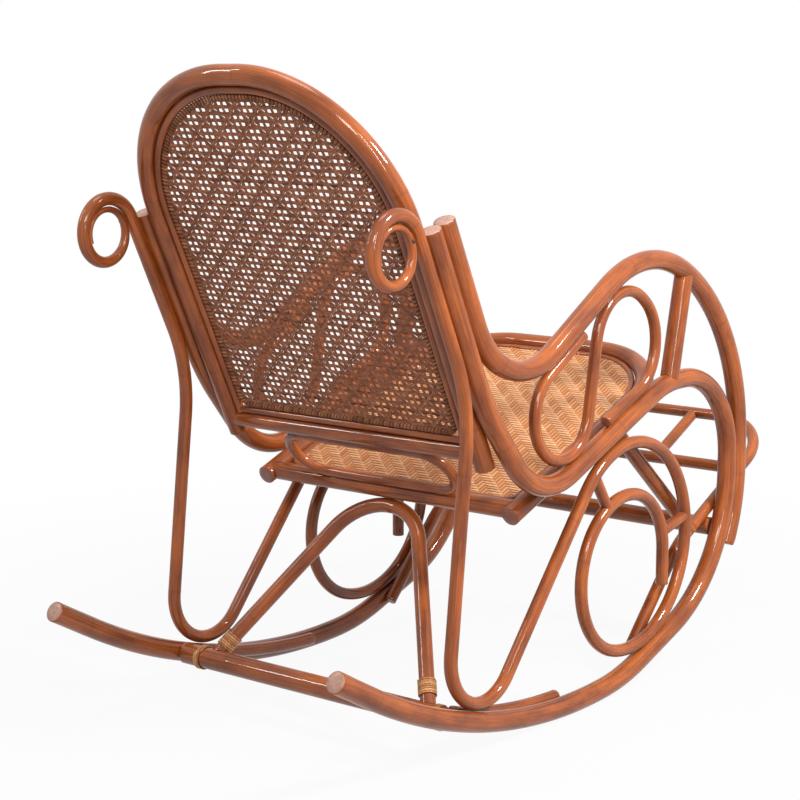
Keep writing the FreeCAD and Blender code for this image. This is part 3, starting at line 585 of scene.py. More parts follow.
seatLook = {"gap": (0.110, 0.028, 0.009, 1), "middle": (0.540, 0.210, 0.068, 1),
            "light": (0.820, 0.475, 0.250, 1), "fineness": 1400.0, "stain": 0.35, "roughness": (0.36, 0.56),
            "specular": 0.18, "coat": 0.15}
backLook = {"gap": (0.085, 0.025, 0.012, 1), "middle": (0.820, 0.345, 0.195, 1),
            "light": (0.970, 0.660, 0.470, 1), "fineness": 1600.0, "stain": 0.35, "roughness": (0.45, 0.62),
            "specular": 0.08, "coat": 0.05}
wrapLook = {"gap": (0.100, 0.030, 0.012, 1), "middle": (0.520, 0.220, 0.075, 1),
            "light": (0.800, 0.470, 0.200, 1), "fineness": 1600.0, "stain": 0.3, "roughness": (0.30, 0.45),
            "specular": 0.20, "coat": 0.35}
edgeLook = {"gap": (0.035, 0.011, 0.006, 1), "middle": (0.260, 0.092, 0.042, 1),
            "light": (0.440, 0.200, 0.105, 1), "fineness": 1500.0, "stain": 0.3, "roughness": (0.40, 0.58),
            "specular": 0.10, "coat": 0.08}
seatCane = makeCane("goldenSeatCane", seatLook)
backCane = makeCane("brownBackCane", backLook)
wrapCane = makeCane("goldenWrapCane", wrapLook)
edgeCane = makeCane("brownEdgeCane", edgeLook)

# rocker pole: runner, front rise, crown, cradle and back post
rocker = {"diameter": 31, "radius": 1000, "contactY": 90, "tailAngle": 29, "tailRun": 80, "leadAngle": 4,
          "leadRadius": 400, "frontY": -345, "frontRadius": 245, "frontBendZ": 305, "crownZ": 474,
          "crownRadius": 145, "browY": -182, "browRadius": 200, "cradleY": 163, "cradleZ": 360,
          "cradleRadius": 122, "postLean": 25.5, "postTopY": 450, "postTopZ": 748, "postBendZ": 536,
          "postBendRadius": 400}
halfSpacing = chair["sideSpacing"] / 2
runner = former((rocker["contactY"], rocker["diameter"] / 2 + rocker["radius"]), rocker["radius"], -1)
leadReach = rocker["radius"] - rocker["leadRadius"]
lead = former(runner["centre"] + turned(-90 - rocker["leadAngle"], leadReach), rocker["leadRadius"], -1)
front = former((rocker["frontY"] + rocker["frontRadius"], rocker["frontBendZ"]), rocker["frontRadius"], -1)
crown = former((rocker["frontY"] + rocker["crownRadius"], rocker["crownZ"] - rocker["crownRadius"]),
               rocker["crownRadius"], -1)
brow = former((rocker["browY"], rocker["crownZ"] - rocker["browRadius"]), rocker["browRadius"], -1)
cradle = former((rocker["cradleY"], rocker["cradleZ"] + rocker["cradleRadius"]), rocker["cradleRadius"], 1)
postUp = turned(90 - rocker["postLean"])
postFront = leftOf(postUp)
postTop = Vector((rocker["postTopY"], rocker["postTopZ"]))


def postPoint(height):
    return postTop + postUp * ((height - postTop.y) / postUp.y)


postBend = former(postPoint(rocker["postBendZ"]) + postFront * rocker["postBendRadius"],
                  rocker["postBendRadius"], 1)
tailWay = turned(rocker["tailAngle"])
tailTip = runner["centre"] - leftOf(tailWay) * rocker["radius"] + tailWay * rocker["tailRun"]
rockerLegs = followFormers([endAt(tailTip), runner, lead, front, crown, brow, cradle, postBend,
                            endAt(postTop)])

# arm pole: in front of the post, over the arm and down the front
arm = {"diameter": 31, "rise": -2, "cradleZ": 598, "cradleRadius": 131, "topZ": 669.5, "crownY": -92,
       "crownRadius": 228, "browRadius": 330, "endAngle": 25, "endRun": 12, "bevelAngle": 30}
armPitch = pitch(rocker["diameter"], arm["diameter"])
armTop = postTop + postFront * armPitch + postUp * arm["rise"]
armCradle = former(postPoint(arm["cradleZ"]) + postFront * (armPitch + arm["cradleRadius"]),
                   arm["cradleRadius"], -1)
armCrown = former((arm["crownY"], arm["topZ"] - arm["crownRadius"]), arm["crownRadius"], 1)
armBrowY = rocker["frontY"] - armPitch + arm["browRadius"]
armBrowDrop = math.sqrt((arm["browRadius"] - arm["crownRadius"]) ** 2 - (armBrowY - arm["crownY"]) ** 2)
armBrow = former((armBrowY, armCrown["centre"].y - armBrowDrop), arm["browRadius"], 1)
armFront = former(front["centre"], rocker["frontRadius"] + armPitch, 1)
armEndWay = turned(arm["endAngle"] - 90)
armEnd = armFront["centre"] - leftOf(armEndWay) * armFront["radius"] + armEndWay * arm["endRun"]
armLegs = followFormers([endAt(armTop), armCradle, armCrown, armBrow, armFront, endAt(armEnd)])

# the arm's front end is bevelled on its outer side
armBevel = leftOf(-turned(arm["endAngle"] + arm["bevelAngle"] - 90))

# leg pole: head ring, leg, foot bend and the coil under the arm
leg = {"diameter": 20, "ringRadius": 48.5, "ringTip": 5, "ringRise": 8, "coilGap": 0.5, "kneeZ": 580,
       "kneeRadius": 250, "footY": 327, "footRadius": 75, "coilY": -52, "coilRadius": 163, "eyeAngle": -73,
       "eyeRadius": 122, "eyeEndAngle": 100, "eyeEndRadius": 105, "eyeEndRun": 57}
legPitch = pitch(rocker["diameter"], leg["diameter"])
ringCentre = postTop + postUp * leg["ringRise"] - postFront * (legPitch + leg["ringRadius"])
ringOuter = former(ringCentre, leg["ringRadius"], 1)
ringRoom = leg["ringRadius"] - leg["diameter"] / 2 - leg["coilGap"]
ringTip = ringCentre - postFront * (ringRoom - leg["ringTip"] / 2)
ringFront = ringCentre + postFront * (ringRoom - (leg["diameter"] + leg["ringTip"]) / 4)
ringRear = ringCentre - postFront * leg["ringRadius"]
ringTaper = [halfTurn(ringTip, ringFront), halfTurn(ringFront, ringRear)]
knee = former(postPoint(leg["kneeZ"]) - postFront * (legPitch + leg["kneeRadius"]), leg["kneeRadius"], 1)
footDepth = rocker["radius"] - leg["footRadius"] - legPitch
footDrop = math.sqrt(footDepth ** 2 - (leg["footY"] - rocker["contactY"]) ** 2)
foot = former((leg["footY"], runner["centre"].y - footDrop), leg["footRadius"], -1)
riseStart, riseWay = straightRun(lead, front)[::2]
coilCentre = beside(riseStart, -leftOf(riseWay), leg["coilY"], leg["coilRadius"] + legPitch)
coil = former(coilCentre, leg["coilRadius"], 1)
eye = former(coilCentre + turned(leg["eyeAngle"], leg["coilRadius"] - leg["eyeRadius"]),
             leg["eyeRadius"], 1)
eyeEnd = former(eye["centre"] + turned(leg["eyeEndAngle"], leg["eyeRadius"] - leg["eyeEndRadius"]),
                leg["eyeEndRadius"], 1)
eyeTip = eyeEnd["centre"] + Vector((-leg["eyeEndRadius"], -leg["eyeEndRun"]))
legLegs = ringTaper + followFormers([endAt(ringRear), ringOuter, knee, foot, coil, eye, eyeEnd,
                                     endAt(eyeTip)])

# arm scroll: from the arm, into the cradle, up to the arm and along the rocker pole
scroll = {"diameter": 18, "startRun": 100, "lowY": 138, "topAngle": 59, "topRadius": 80, "heelY": -34,
          "heelRadius": 80, "endRun": 94}
armRiseStart, armRiseWay = straightRun(armCradle, armCrown)[::2]
underArm = leftOf(armRiseWay)
hang = pitch(arm["diameter"], scroll["diameter"])
slopeStart, slopeWay = straightRun(brow, cradle)[::2]
slopeUp = leftOf(slopeWay)
rest = pitch(rocker["diameter"], scroll["diameter"])
armAbove = beside(armRiseStart, underArm, scroll["lowY"], hang)
slopeBelow = beside(slopeStart, slopeUp, scroll["lowY"], rest)
lowRadius = (armAbove.y - slopeBelow.y) / (1 / abs(underArm.y) + 1 / slopeUp.y)
scrollLow = former(beside(slopeStart, slopeUp, scroll["lowY"], rest + lowRadius), lowRadius, -1)
scrollStart = scrollLow["centre"] - underArm * lowRadius + armRiseWay * scroll["startRun"]
scrollReach = arm["crownRadius"] - scroll["topRadius"] - hang
scrollTop = former(armCrown["centre"] + turned(scroll["topAngle"], scrollReach), scroll["topRadius"], 1)
scrollHeel = former(beside(slopeStart, slopeUp, scroll["heelY"], rest + scroll["heelRadius"]),
                    scroll["heelRadius"], 1)
scrollEnd = scrollHeel["centre"] - slopeUp * scroll["heelRadius"] + slopeWay * scroll["endRun"]
scrollLegs = followFormers([endAt(scrollStart), scrollLow, scrollTop, scrollHeel, endAt(scrollEnd)])

# short straight poles in the side frame, and the pole beside the runner
strut = {"diameter": 30, "lowY": -156, "topY": -195}
spacer = {"diameter": 18, "upperAngle": 51, "upperEyeAngle": 64, "frontAngle": 172, "frontEyeAngle": 164}
doubler = {"diameter": 20, "lift": 8, "frontY": 112, "endGap": 11}
stretcher = {"diameter": 33, "y": 395}


def onFormer(bend, degrees):
    out = turned(degrees)
    return bend["centre"] + out * bend["radius"], leftOf(out)


def atY(bend, across):
    return onFormer(bend, math.degrees(math.acos((across - bend["centre"].x) / bend["radius"])))


def runnerPoint(radius, across):
    drop = math.sqrt(radius ** 2 - (across - rocker["contactY"]) ** 2)
    return Vector((across, runner["centre"].y - drop))


def seatFor(place, spot, diameter):
    point, way = spot
    return onPlane(place, point), turnOnPlane(place, way), seatRadius(diameter)


def sideRod(name, place, first, second, diameter, firstOn, secondOn):
    seats = (seatFor(place, first, firstOn), seatFor(place, second, secondOn))
    makeRod(name, seats[0][0], seats[1][0], diameter, seats)


stretcherPlace = runnerPoint(rocker["radius"], stretcher["y"])
doublerIn = math.sqrt(pitch(rocker["diameter"], doubler["diameter"]) ** 2 - doubler["lift"] ** 2)
doublerRadius = rocker["radius"] - doubler["lift"]
doublerBack = runnerPoint(doublerRadius, stretcher["y"] - stretcher["diameter"] / 2 - doubler["endGap"])
doublerFront = runnerPoint(doublerRadius, doubler["frontY"])
doublerSpan = [spot - runner["centre"] for spot in (doublerBack, doublerFront)]
doublerTurn = doublerSpan[0].angle(doublerSpan[1])
doublerLegs = [arcLeg(runner["centre"], doublerSpan[0], -leftOf(doublerSpan[0]), doublerTurn)]

for word, sign in sides.items():
    sidePlane = plane((sign * halfSpacing, 0, 0), rearAxis, upAxis)
    innerPlane = plane((sign * (halfSpacing - doublerIn), 0, 0), rearAxis, upAxis)
    makeBent("rocker_pole_" + word, rockerLegs, sidePlane, rocker["diameter"], pale=True)
    armPole = makeBent("arm_pole_" + word, armLegs, sidePlane, arm["diameter"], pale=True)
    cutSlantwise(armPole, onPlane(sidePlane, armEnd), turnOnPlane(sidePlane, armBevel), 2 * arm["diameter"])
    makeBent("leg_pole_" + word, legLegs, sidePlane, leg["diameter"],
             taper={"diameter": leg["ringTip"], "length": routeLength(ringTaper)})
    makeBent("arm_scroll_" + word, scrollLegs, sidePlane, scroll["diameter"])
    makeBent("runner_doubler_" + word, doublerLegs, innerPlane, doubler["diameter"])
    sideRod("arm_strut_" + word, sidePlane, atY(brow, strut["lowY"]), atY(armCrown, strut["topY"]),
            strut["diameter"], rocker["diameter"], arm["diameter"])
    sideRod("coil_spacer_upper_" + word, sidePlane, onFormer(coil, spacer["upperAngle"]),
            onFormer(eye, spacer["upperEyeAngle"]), spacer["diameter"], leg["diameter"], leg["diameter"])
    sideRod("coil_spacer_front_" + word, sidePlane, onFormer(coil, spacer["frontAngle"]),
            onFormer(eyeEnd, spacer["frontEyeAngle"]), spacer["diameter"], leg["diameter"], leg["diameter"])
print("side frames bent")


def chairPoint(across, place):
    return Vector((across, place.x, place.y))


def crossRod(name, place, halfLength, diameter):
    makeRod(name, chairPoint(-halfLength, place), chairPoint(halfLength, place), diameter)


def tilted(degrees):
    way = turned(degrees)
    return Vector((0, -way.x, way.y))


def archFormers(halfWidth, top, radius):
    return [former((side * (halfWidth - radius), top - radius), radius, 1) for side in (1, -1)]


def openArch(halfWidth, low, top, radius):
    ends = [endAt((side * halfWidth, low)) for side in (1, -1)]
    return followFormers(ends[:1] + archFormers(halfWidth, top, radius) + ends[1:])


def closedArch(halfWidth, low, top, radius, lowRadius):
    feet = [former((lowRadius - halfWidth, low + lowRadius), lowRadius, 1),
            former((halfWidth - lowRadius, low + lowRadius), lowRadius, 1)]
    return followFormers(archFormers(halfWidth, top, radius) + feet, closed=True)


betweenPoles = halfSpacing - rocker["diameter"] / 2 - chair["fitGap"]
crossRod("rear_stretcher", stretcherPlace, betweenPoles, stretcher["diameter"])

# seat: bent frame, rear rail and bead
seat = {"tilt": 21, "endY": 224, "endZ": 319, "depth": 500, "cornerRadius": 160, "railDiameter": 30,
        "crossDiameter": 29, "crossInset": 19, "beadDiameter": 10, "beadCorner": 20}
seatWay = tilted(seat["tilt"])
seatPlane = plane((0, seat["endY"], seat["endZ"]), acrossAxis, seatWay)
seatHalf = halfSpacing - pitch(rocker["diameter"], seat["railDiameter"])
makeBent("seat_frame", openArch(seatHalf, 0, seat["depth"], seat["cornerRadius"]), seatPlane,
         seat["railDiameter"])
seatCorners = [onPlane(seatPlane, Vector((side * seatHalf, seat["crossInset"]))) for side in (-1, 1)]
makeRod("seat_rear_rail", *seatCorners, seat["crossDiameter"],
        [(corner, seatWay, seatRadius(seat["railDiameter"])) for corner in seatCorners])
beadInset = pitch(seat["railDiameter"], seat["beadDiameter"])
beadLow = seat["crossInset"] + pitch(seat["crossDiameter"], seat["beadDiameter"])
makeBent("seat_bead", closedArch(seatHalf - beadInset, beadLow, seat["depth"] - beadInset,
                                 seat["cornerRadius"] - beadInset, seat["beadCorner"]), seatPlane,
         seat["beadDiameter"], closed=True)

# rear arch: its feet stand on the stretcher, a little off the middle
# its top lies under the seat's rear rail
arch = {"diameter": 23, "halfSpan": 211, "shift": -15, "topRadius": 92, "topDrop": 20}
railAxis = onPlane(seatPlane, Vector((0, seat["crossInset"])))
railPlace = Vector((railAxis.y, railAxis.z))
topOffset = math.sqrt(pitch(seat["crossDiameter"], arch["diameter"]) ** 2 - arch["topDrop"] ** 2)
archLow, archHigh, archLean = straightRun(endAt(stretcherPlace), former(railPlace, topOffset, -1))
archPlane = plane(chairPoint(0, archLow), acrossAxis, (0, archLean.x, archLean.y))
archTop = (archHigh - archLow).length - arch["topDrop"]
archBend = former((0, archTop - arch["topRadius"]), arch["topRadius"], 1)
archFeet = [Vector((side * arch["halfSpan"] + arch["shift"], 0)) for side in (1, -1)]
onStretcher = (chairPoint(0, stretcherPlace), acrossAxis, seatRadius(stretcher["diameter"]))
makeBent("rear_arch", followFormers([endAt(archFeet[0]), archBend, endAt(archFeet[1])]), archPlane,
         arch["diameter"], seats=(onStretcher, onStretcher))

# back: outer and inner hoop and the two rails
back = {"hoopDiameter": 30, "hoopTopZ": 949.5, "hoopFootZ": 400, "hoopRadius": 225, "innerDiameter": 12,
        "edgeDiameter": 10, "edgeCorner": 15, "railDiameter": 26, "railZ": 423, "innerRailDiameter": 12}
backWay = Vector((0, postUp.x, postUp.y))
backPlane = plane(chairPoint(0, postTop), acrossAxis, backWay)


def backReach(height):
    return (height - postTop.y) / postUp.y


hoopHalf = halfSpacing - pitch(rocker["diameter"], back["hoopDiameter"])
hoopTop = backReach(back["hoopTopZ"])
makeBent("back_hoop", openArch(hoopHalf, backReach(back["hoopFootZ"]), hoopTop, back["hoopRadius"]),
         backPlane, back["hoopDiameter"])
railReach = backReach(back["railZ"])


def backRail(name, halfLength, reach, diameter, endOn):
    ends = [onPlane(backPlane, Vector((side * halfLength, reach))) for side in (-1, 1)]
    makeRod(name, *ends, diameter, [(end, backWay, seatRadius(endOn)) for end in ends])


backRail("back_bottom_rail", hoopHalf, railReach, back["railDiameter"], back["hoopDiameter"])
innerInset = pitch(back["hoopDiameter"], back["innerDiameter"])
innerHalf = hoopHalf - innerInset
innerLow = railReach + back["railDiameter"] / 2 + chair["fitGap"]
innerTouch = 2 * (chair["fitGap"] + 2 * pole["shrink"])  # drawn fuller, so that it meets the outer hoop
innerArch = openArch(innerHalf, innerLow, hoopTop - innerInset, back["hoopRadius"] - innerInset)
makeBent("back_inner_hoop", innerArch, backPlane, back["innerDiameter"] + innerTouch)
innerRailReach = railReach + pitch(back["railDiameter"], back["innerRailDiameter"])
backRail("back_inner_rail", innerHalf, innerRailReach, back["innerRailDiameter"], back["innerDiameter"])

# oval between the seat and the back
oval = {"diameter": 16, "halfLength": 155}
backRailAxis = onPlane(backPlane, Vector((0, railReach)))
ovalWay = (backRailAxis - railAxis).normalized()
ovalLow = pitch(seat["crossDiameter"], oval["diameter"])
ovalHigh = (backRailAxis - railAxis).length - pitch(back["railDiameter"], oval["diameter"])
ovalRadius = (ovalHigh - ovalLow) / 2
ovalOut = oval["halfLength"] - ovalRadius
ovalEnds = [former((side * ovalOut, ovalLow + ovalRadius), ovalRadius, 1) for side in (1, -1)]
makeBent("seat_back_oval", followFormers(ovalEnds, closed=True), plane(railAxis, acrossAxis, ovalWay),
         oval["diameter"], closed=True)

# footrest: rail, one pole bent to the frame and its props, bar, slats and braces
footrest = {"railDiameter": 30, "railZ": 209, "tilt": 26, "length": 271, "corner": 115, "diameter": 20,
            "heelRun": 87, "heelRadius": 200, "barDiameter": 20, "barReach": 129, "slatDiameter": 19,
            "slatSpacing": 160, "propFootY": -94, "propFootZ": 45}
brace = {"diameter": 24, "seatReach": 280, "footRun": 45}
railDrop = front["centre"].y - footrest["railZ"]
footRailY = front["centre"].x - math.sqrt(front["radius"] ** 2 - railDrop ** 2)
footRailPlace = Vector((footRailY, footrest["railZ"]))
crossRod("footrest_rail", footRailPlace, betweenPoles, footrest["railDiameter"])
footWay = tilted(footrest["tilt"])
footLift = footWay.cross(acrossAxis) * pitch(footrest["railDiameter"], footrest["diameter"])
footPlane = plane(chairPoint(0, footRailPlace) + footLift, acrossAxis, footWay)
footHalf = halfSpacing - pitch(rocker["diameter"], footrest["diameter"])


def footPoint(across, reach):
    return onPlane(footPlane, Vector((across, reach)))


def footSide(sign):
    return [Vector((sign * footHalf, footrest["propFootY"], footrest["propFootZ"])),
            footPoint(sign * footHalf, -footrest["heelRun"]),
            footPoint(sign * footHalf, footrest["length"])]


footRadii = [footrest["heelRadius"], footrest["corner"]]
footLegs = followCorners(footSide(1) + footSide(-1)[::-1], footRadii + footRadii[::-1])
makeBent("footrest_frame", footLegs, None, footrest["diameter"])
barEnds = [footPoint(side * footHalf, footrest["barReach"]) for side in (-1, 1)]
makeRod("footrest_bar", *barEnds, footrest["barDiameter"],
        [(end, footWay, seatRadius(footrest["diameter"])) for end in barEnds])
for word, sign in sides.items():
    slatX = sign * footrest["slatSpacing"] / 2
    slatEnds = [footPoint(slatX, footrest["barReach"]), footPoint(slatX, footrest["length"])]
    makeRod("footrest_slat_" + word, *slatEnds, footrest["slatDiameter"],
            [(slatEnds[0], acrossAxis, seatRadius(footrest["barDiameter"])),
             (slatEnds[1], acrossAxis, seatRadius(footrest["diameter"]))])
    braceTop = onPlane(seatPlane, Vector((sign * seatHalf, brace["seatReach"])))
    braceFoot = footPoint(sign * footHalf, -brace["footRun"])
    makeRod("footrest_brace_" + word, braceTop, braceFoot, brace["diameter"],
            ((braceTop, seatWay, seatRadius(seat["railDiameter"])),
             (braceFoot, footWay, seatRadius(footrest["diameter"]))))
print("seat, back and footrest poles bent")


# flat strips of cane, gathered into one piece: each is a crowned ribbon that rises and dips
strip = {"section": [(-0.5, -0.5), (-0.5, 0.15), (-0.28, 0.45), (0.28, 0.45), (0.5, 0.15), (0.5, -0.5)],
         "crownShare": 0.4, "edgePaintedShade": 0.25, "sharpAngle": 60}


def newStrips():
    return {"points": [], "faces": [], "straight": [], "tone": []}


def addStrip(strips, place, spots, width, make, chance, tone):
    offset = chance.uniform(0, pole["grainShift"])
    walked = 0.0
    start = len(strips["points"])
    count = len(spots)
    for number, (flat, height) in enumerate(spots):
        ahead = spots[min(number + 1, count - 1)][0] - spots[max(number - 1, 0)][0]
        side = leftOf(ahead.normalized())
        if number:
            walked += (flat - spots[number - 1][0]).length
        for across, rise in strip["section"]:
            onCrown = abs(across) < strip["crownShare"]
            lift = height + rise * make["thickness"] + (make["crown"] if onCrown else 0.0)
            strips["points"].append(onPlane(place, flat + side * (across * width)) + place["normal"] * lift)
            strips["straight"].append((across * width * mm, rise * make["thickness"] * mm,
                                       walked * mm + offset))
            # the strip's edges take a lower tone: painted shade in the grooves between strips
            strips["tone"].append(tone * (1.0 if onCrown else strip["edgePaintedShade"]))
    size = len(strip["section"])
    for row in range(count - 1):
        here = start + row * size
        for step in range(size):
            after = (step + 1) % size
            strips["faces"].append((here + step, here + size + step, here + size + after, here + after))
    strips["faces"].append(tuple(start + step for step in range(size)))
    strips["faces"].append(tuple(start + (count - 1) * size + step for step in reversed(range(size))))


def finishStrips(name, strips, finish, slot, *nodes):
    piece = addPiece(name, strips["points"], strips["faces"], [finish])
    paint(piece, "straightPole", "FLOAT_VECTOR", strips["straight"])
    paint(piece, "toneAndPaintedShade", "FLOAT", strips["tone"])
    piece.data.set_sharp_from_angle(angle=math.radians(strip["sharpAngle"]))
    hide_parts(*nodes)


# the reach of an arched panel along a line across it or up it
def acrossSpan(outline, height):
    low = outline["top"] - outline["radius"]
    if height <= low:
        return outline["half"]
    rise = min(height - low, outline["radius"])
    return outline["half"] - outline["radius"] + math.sqrt(outline["radius"] ** 2 - rise ** 2)


def upSpan(outline, across):
    inner = outline["half"] - outline["radius"]
    out = max(0.0, abs(across) - inner)
    if out >= outline["radius"]:
        return outline["top"] - outline["radius"]
    return outline["top"] - outline["radius"] + math.sqrt(outline["radius"] ** 2 - out ** 2)


# seat weave: flat golden cane, each strip over three and under three, one step on at each strip
weave = {"acrossPitch": 7.2, "upPitch": 6.2, "cover": 0.93, "thickness": 0.9, "crown": 0.55, "lift": 0.75,
         "float": 3, "tuck": 3.0, "grip": 0.28, "endGap": 0.5, "uprightTone": 0.60, "crossTone": 0.88,
         "toneSpread": 0.10, "toneLeast": 0.3}


def weaveSeat():
    chance = random.Random("seat weave")
    seatUp = dict(seatPlane, normal=-seatPlane["normal"])
    grips = (-weave["grip"], weave["grip"])
    inset = beadInset + seat["beadDiameter"] / 2 - weave["tuck"]
    low = beadLow + seat["beadDiameter"] / 2 - weave["tuck"]
    outline = {"half": seatHalf - inset, "top": seat["depth"] - inset,
               "radius": seat["cornerRadius"] - inset}
    wide, tall = weave["acrossPitch"], weave["upPitch"]
    columns = int(outline["half"] / wide)
    rows = int((outline["top"] - low) / tall)
    strips = newStrips()

    def over(column, row):
        return (column - row) % (2 * weave["float"]) < weave["float"]

    def tone(middle):
        return min(1.0, max(weave["toneLeast"], chance.gauss(middle, weave["toneSpread"])))

    for column in range(-columns, columns + 1):
        across = column * wide
        top = upSpan(outline, across)
        spots = [(Vector((across, low)), 0.0)]
        for row in range(rows + 1):
            height = low + (row + 0.5) * tall
            lift = weave["lift"] if over(column, row) else -weave["lift"]
            for part in grips:
                if height + part * tall < top - weave["endGap"]:
                    spots.append((Vector((across, height + part * tall)), lift))
        spots.append((Vector((across, top)), 0.0))
        addStrip(strips, seatUp, spots, weave["cover"] * wide, weave, chance, tone(weave["uprightTone"]))
    for row in range(rows + 1):
        height = low + (row + 0.5) * tall
        reach = acrossSpan(outline, height)
        spots = [(Vector((-reach, height)), 0.0)]
        for column in range(-columns, columns + 1):
            across = column * wide
            lift = -weave["lift"] if over(column, row) else weave["lift"]
            for part in grips:
                if abs(across + part * wide) < reach - weave["endGap"]:
                    spots.append((Vector((across + part * wide, height)), lift))
        spots.append((Vector((reach, height)), 0.0))
        addStrip(strips, seatUp, spots, weave["cover"] * tall, weave, chance, tone(weave["crossTone"]))
    finishStrips("looks_seat_weave", strips, seatCane, "seat_weave", "seat_panel")


weaveSeat()
print("seat woven")

# open cane of the back: upright pairs, cross pairs, and slanted bands that close every other block
cane = {"acrossPitch": 11.2, "upPitch": 10.35, "startX": 9.3, "startReach": 154.6, "thickness": 0.6,
        "crown": 0.15, "lift": 0.5, "tuck": 2.5, "endGap": 1, "shortest": 20, "toneSpread": 0.15,
        "uprightWidth": 2.5, "uprightGap": 2.6, "uprightGrip": 1.6, "uprightTone": 0.5,
        "crossWidth": 2.6, "crossGap": 2.8, "crossGrip": 2.6, "crossTone": 0.45,
        "slantWidth": 2.6, "slantGap": 3.1, "slantLift": 0.95, "slantTone": 0.55, "slantCount": 3,
        "bandPitch": 4, "bandStart": 2, "spareBands": 2, "leastRun": 1.2, "fewestCrossings": 3,
        "endStep": 0.5, "endSteps": 24}


def weaveBack():
    chance = random.Random("open cane")
    pastEdge = back["edgeDiameter"] / 2 - cane["tuck"]
    inset = innerInset + pitch(back["innerDiameter"], back["edgeDiameter"]) + pastEdge
    low = innerRailReach + pitch(back["innerRailDiameter"], back["edgeDiameter"]) + pastEdge
    outline = {"half": hoopHalf - inset, "top": hoopTop - inset, "radius": back["hoopRadius"] - inset}
    strips = newStrips()
    firstColumn = math.ceil((-outline["half"] - cane["startX"]) / cane["acrossPitch"])
    lastColumn = math.floor((outline["half"] - cane["startX"]) / cane["acrossPitch"])
    firstRow = math.ceil((low - cane["startReach"]) / cane["upPitch"])
    lastRow = math.floor((outline["top"] - cane["startReach"]) / cane["upPitch"])

    def columnAt(column):
        return cane["startX"] + column * cane["acrossPitch"]

    def rowAt(row):
        return cane["startReach"] + row * cane["upPitch"]

    def tone(middle):
        return min(1.0, max(0.0, chance.gauss(middle, cane["toneSpread"])))

    def inside(flat):
        return flat.y > low and flat.y < upSpan(outline, flat.x) and abs(flat.x) < outline["half"]

    for column in range(firstColumn, lastColumn + 1):
        for side in (-0.5, 0.5):
            across = columnAt(column) + side * cane["uprightGap"]
            top = upSpan(outline, across)
            if top - low < cane["shortest"] or abs(across) > outline["half"] - cane["endGap"]:
                continue
            spots = [(Vector((across, low)), 0.0)]
            for row in range(firstRow, lastRow + 1):
                lift = cane["lift"] if (column + row) % 2 else -cane["lift"]
                for part in (-cane["uprightGrip"], cane["uprightGrip"]):
                    if low + cane["endGap"] < rowAt(row) + part < top - cane["endGap"]:
                        spots.append((Vector((across, rowAt(row) + part)), lift))
            spots.append((Vector((across, top)), 0.0))
            addStrip(strips, backPlane, spots, cane["uprightWidth"], cane, chance,
                     tone(cane["uprightTone"]))
    for row in range(firstRow, lastRow + 1):
        for side in (-0.5, 0.5):
            height = rowAt(row) + side * cane["crossGap"]
            if height < low or height > outline["top"] - cane["endGap"]:
                continue
            reach = acrossSpan(outline, height)
            spots = [(Vector((-reach, height)), 0.0)]
            for column in range(firstColumn, lastColumn + 1):
                lift = -cane["lift"] if (column + row) % 2 else cane["lift"]
                for part in (-cane["crossGrip"], cane["crossGrip"]):
                    if abs(columnAt(column) + part) < reach - cane["endGap"]:
                        spots.append((Vector((columnAt(column) + part, height)), lift))
            spots.append((Vector((reach, height)), 0.0))
            addStrip(strips, backPlane, spots, cane["crossWidth"], cane, chance, tone(cane["crossTone"]))
    slope = cane["upPitch"] / cane["acrossPitch"]
    tall = outline["top"] - low
    span = 2 * outline["half"] + tall / slope
    bands = int(span / (cane["bandPitch"] * cane["acrossPitch"])) + cane["spareBands"]
    for lean in (1, -1):
        along = Vector((1, lean * slope)).normalized()
        side = leftOf(along)
        for band in range(-bands, bands + 1):
            bandColumn = cane["bandStart"] + cane["bandPitch"] * band
            middle = Vector((columnAt(bandColumn), cane["startReach"]))
            for number in range(cane["slantCount"]):
                base = middle + side * ((number - (cane["slantCount"] - 1) / 2) * cane["slantGap"])
                crossings = []
                for column in range(firstColumn, lastColumn + 1):
                    crossings.append(((columnAt(column) - base.x) / along.x, cane["slantLift"]))
                for row in range(firstRow, lastRow + 1):
                    crossings.append(((rowAt(row) - base.y) / along.y, -cane["slantLift"]))
                crossings = sorted(crossing for crossing in crossings if inside(base + along * crossing[0]))
                if len(crossings) < cane["fewestCrossings"]:
                    continue
                spots = []
                for distance, lift in crossings:
                    if not spots or (base + along * distance - spots[-1][0]).length > cane["leastRun"]:
                        spots.append((base + along * distance, lift * lean))
                for end, way in ((0, -1), (-1, 1)):
                    reach = spots[end][0]
                    for step in range(cane["endSteps"]):
                        further = reach + along * (way * cane["endStep"])
                        if not inside(further):
                            break
                        reach = further
                    spots.insert(0 if end == 0 else len(spots), (reach, 0.0))
                addStrip(strips, backPlane, spots, cane["slantWidth"], cane, chance,
                         tone(cane["slantTone"]))
    finishStrips("looks_back_cane", strips, backCane, "back_cane", "back_panel")


weaveBack()
print("back caned")

# cane wound round the back's edge: a ridge for every turn, leaning a little
edgeWrap = {"turn": 6.3, "dip": 1.3, "rings": 8, "around": 16, "slant": 0.4, "grooveEdge": 5,
            "grooveShade": 0.95, "grainShift": 0.37, "tone": 0.6, "toneSpread": 0.2, "toneLeast": 0.2}


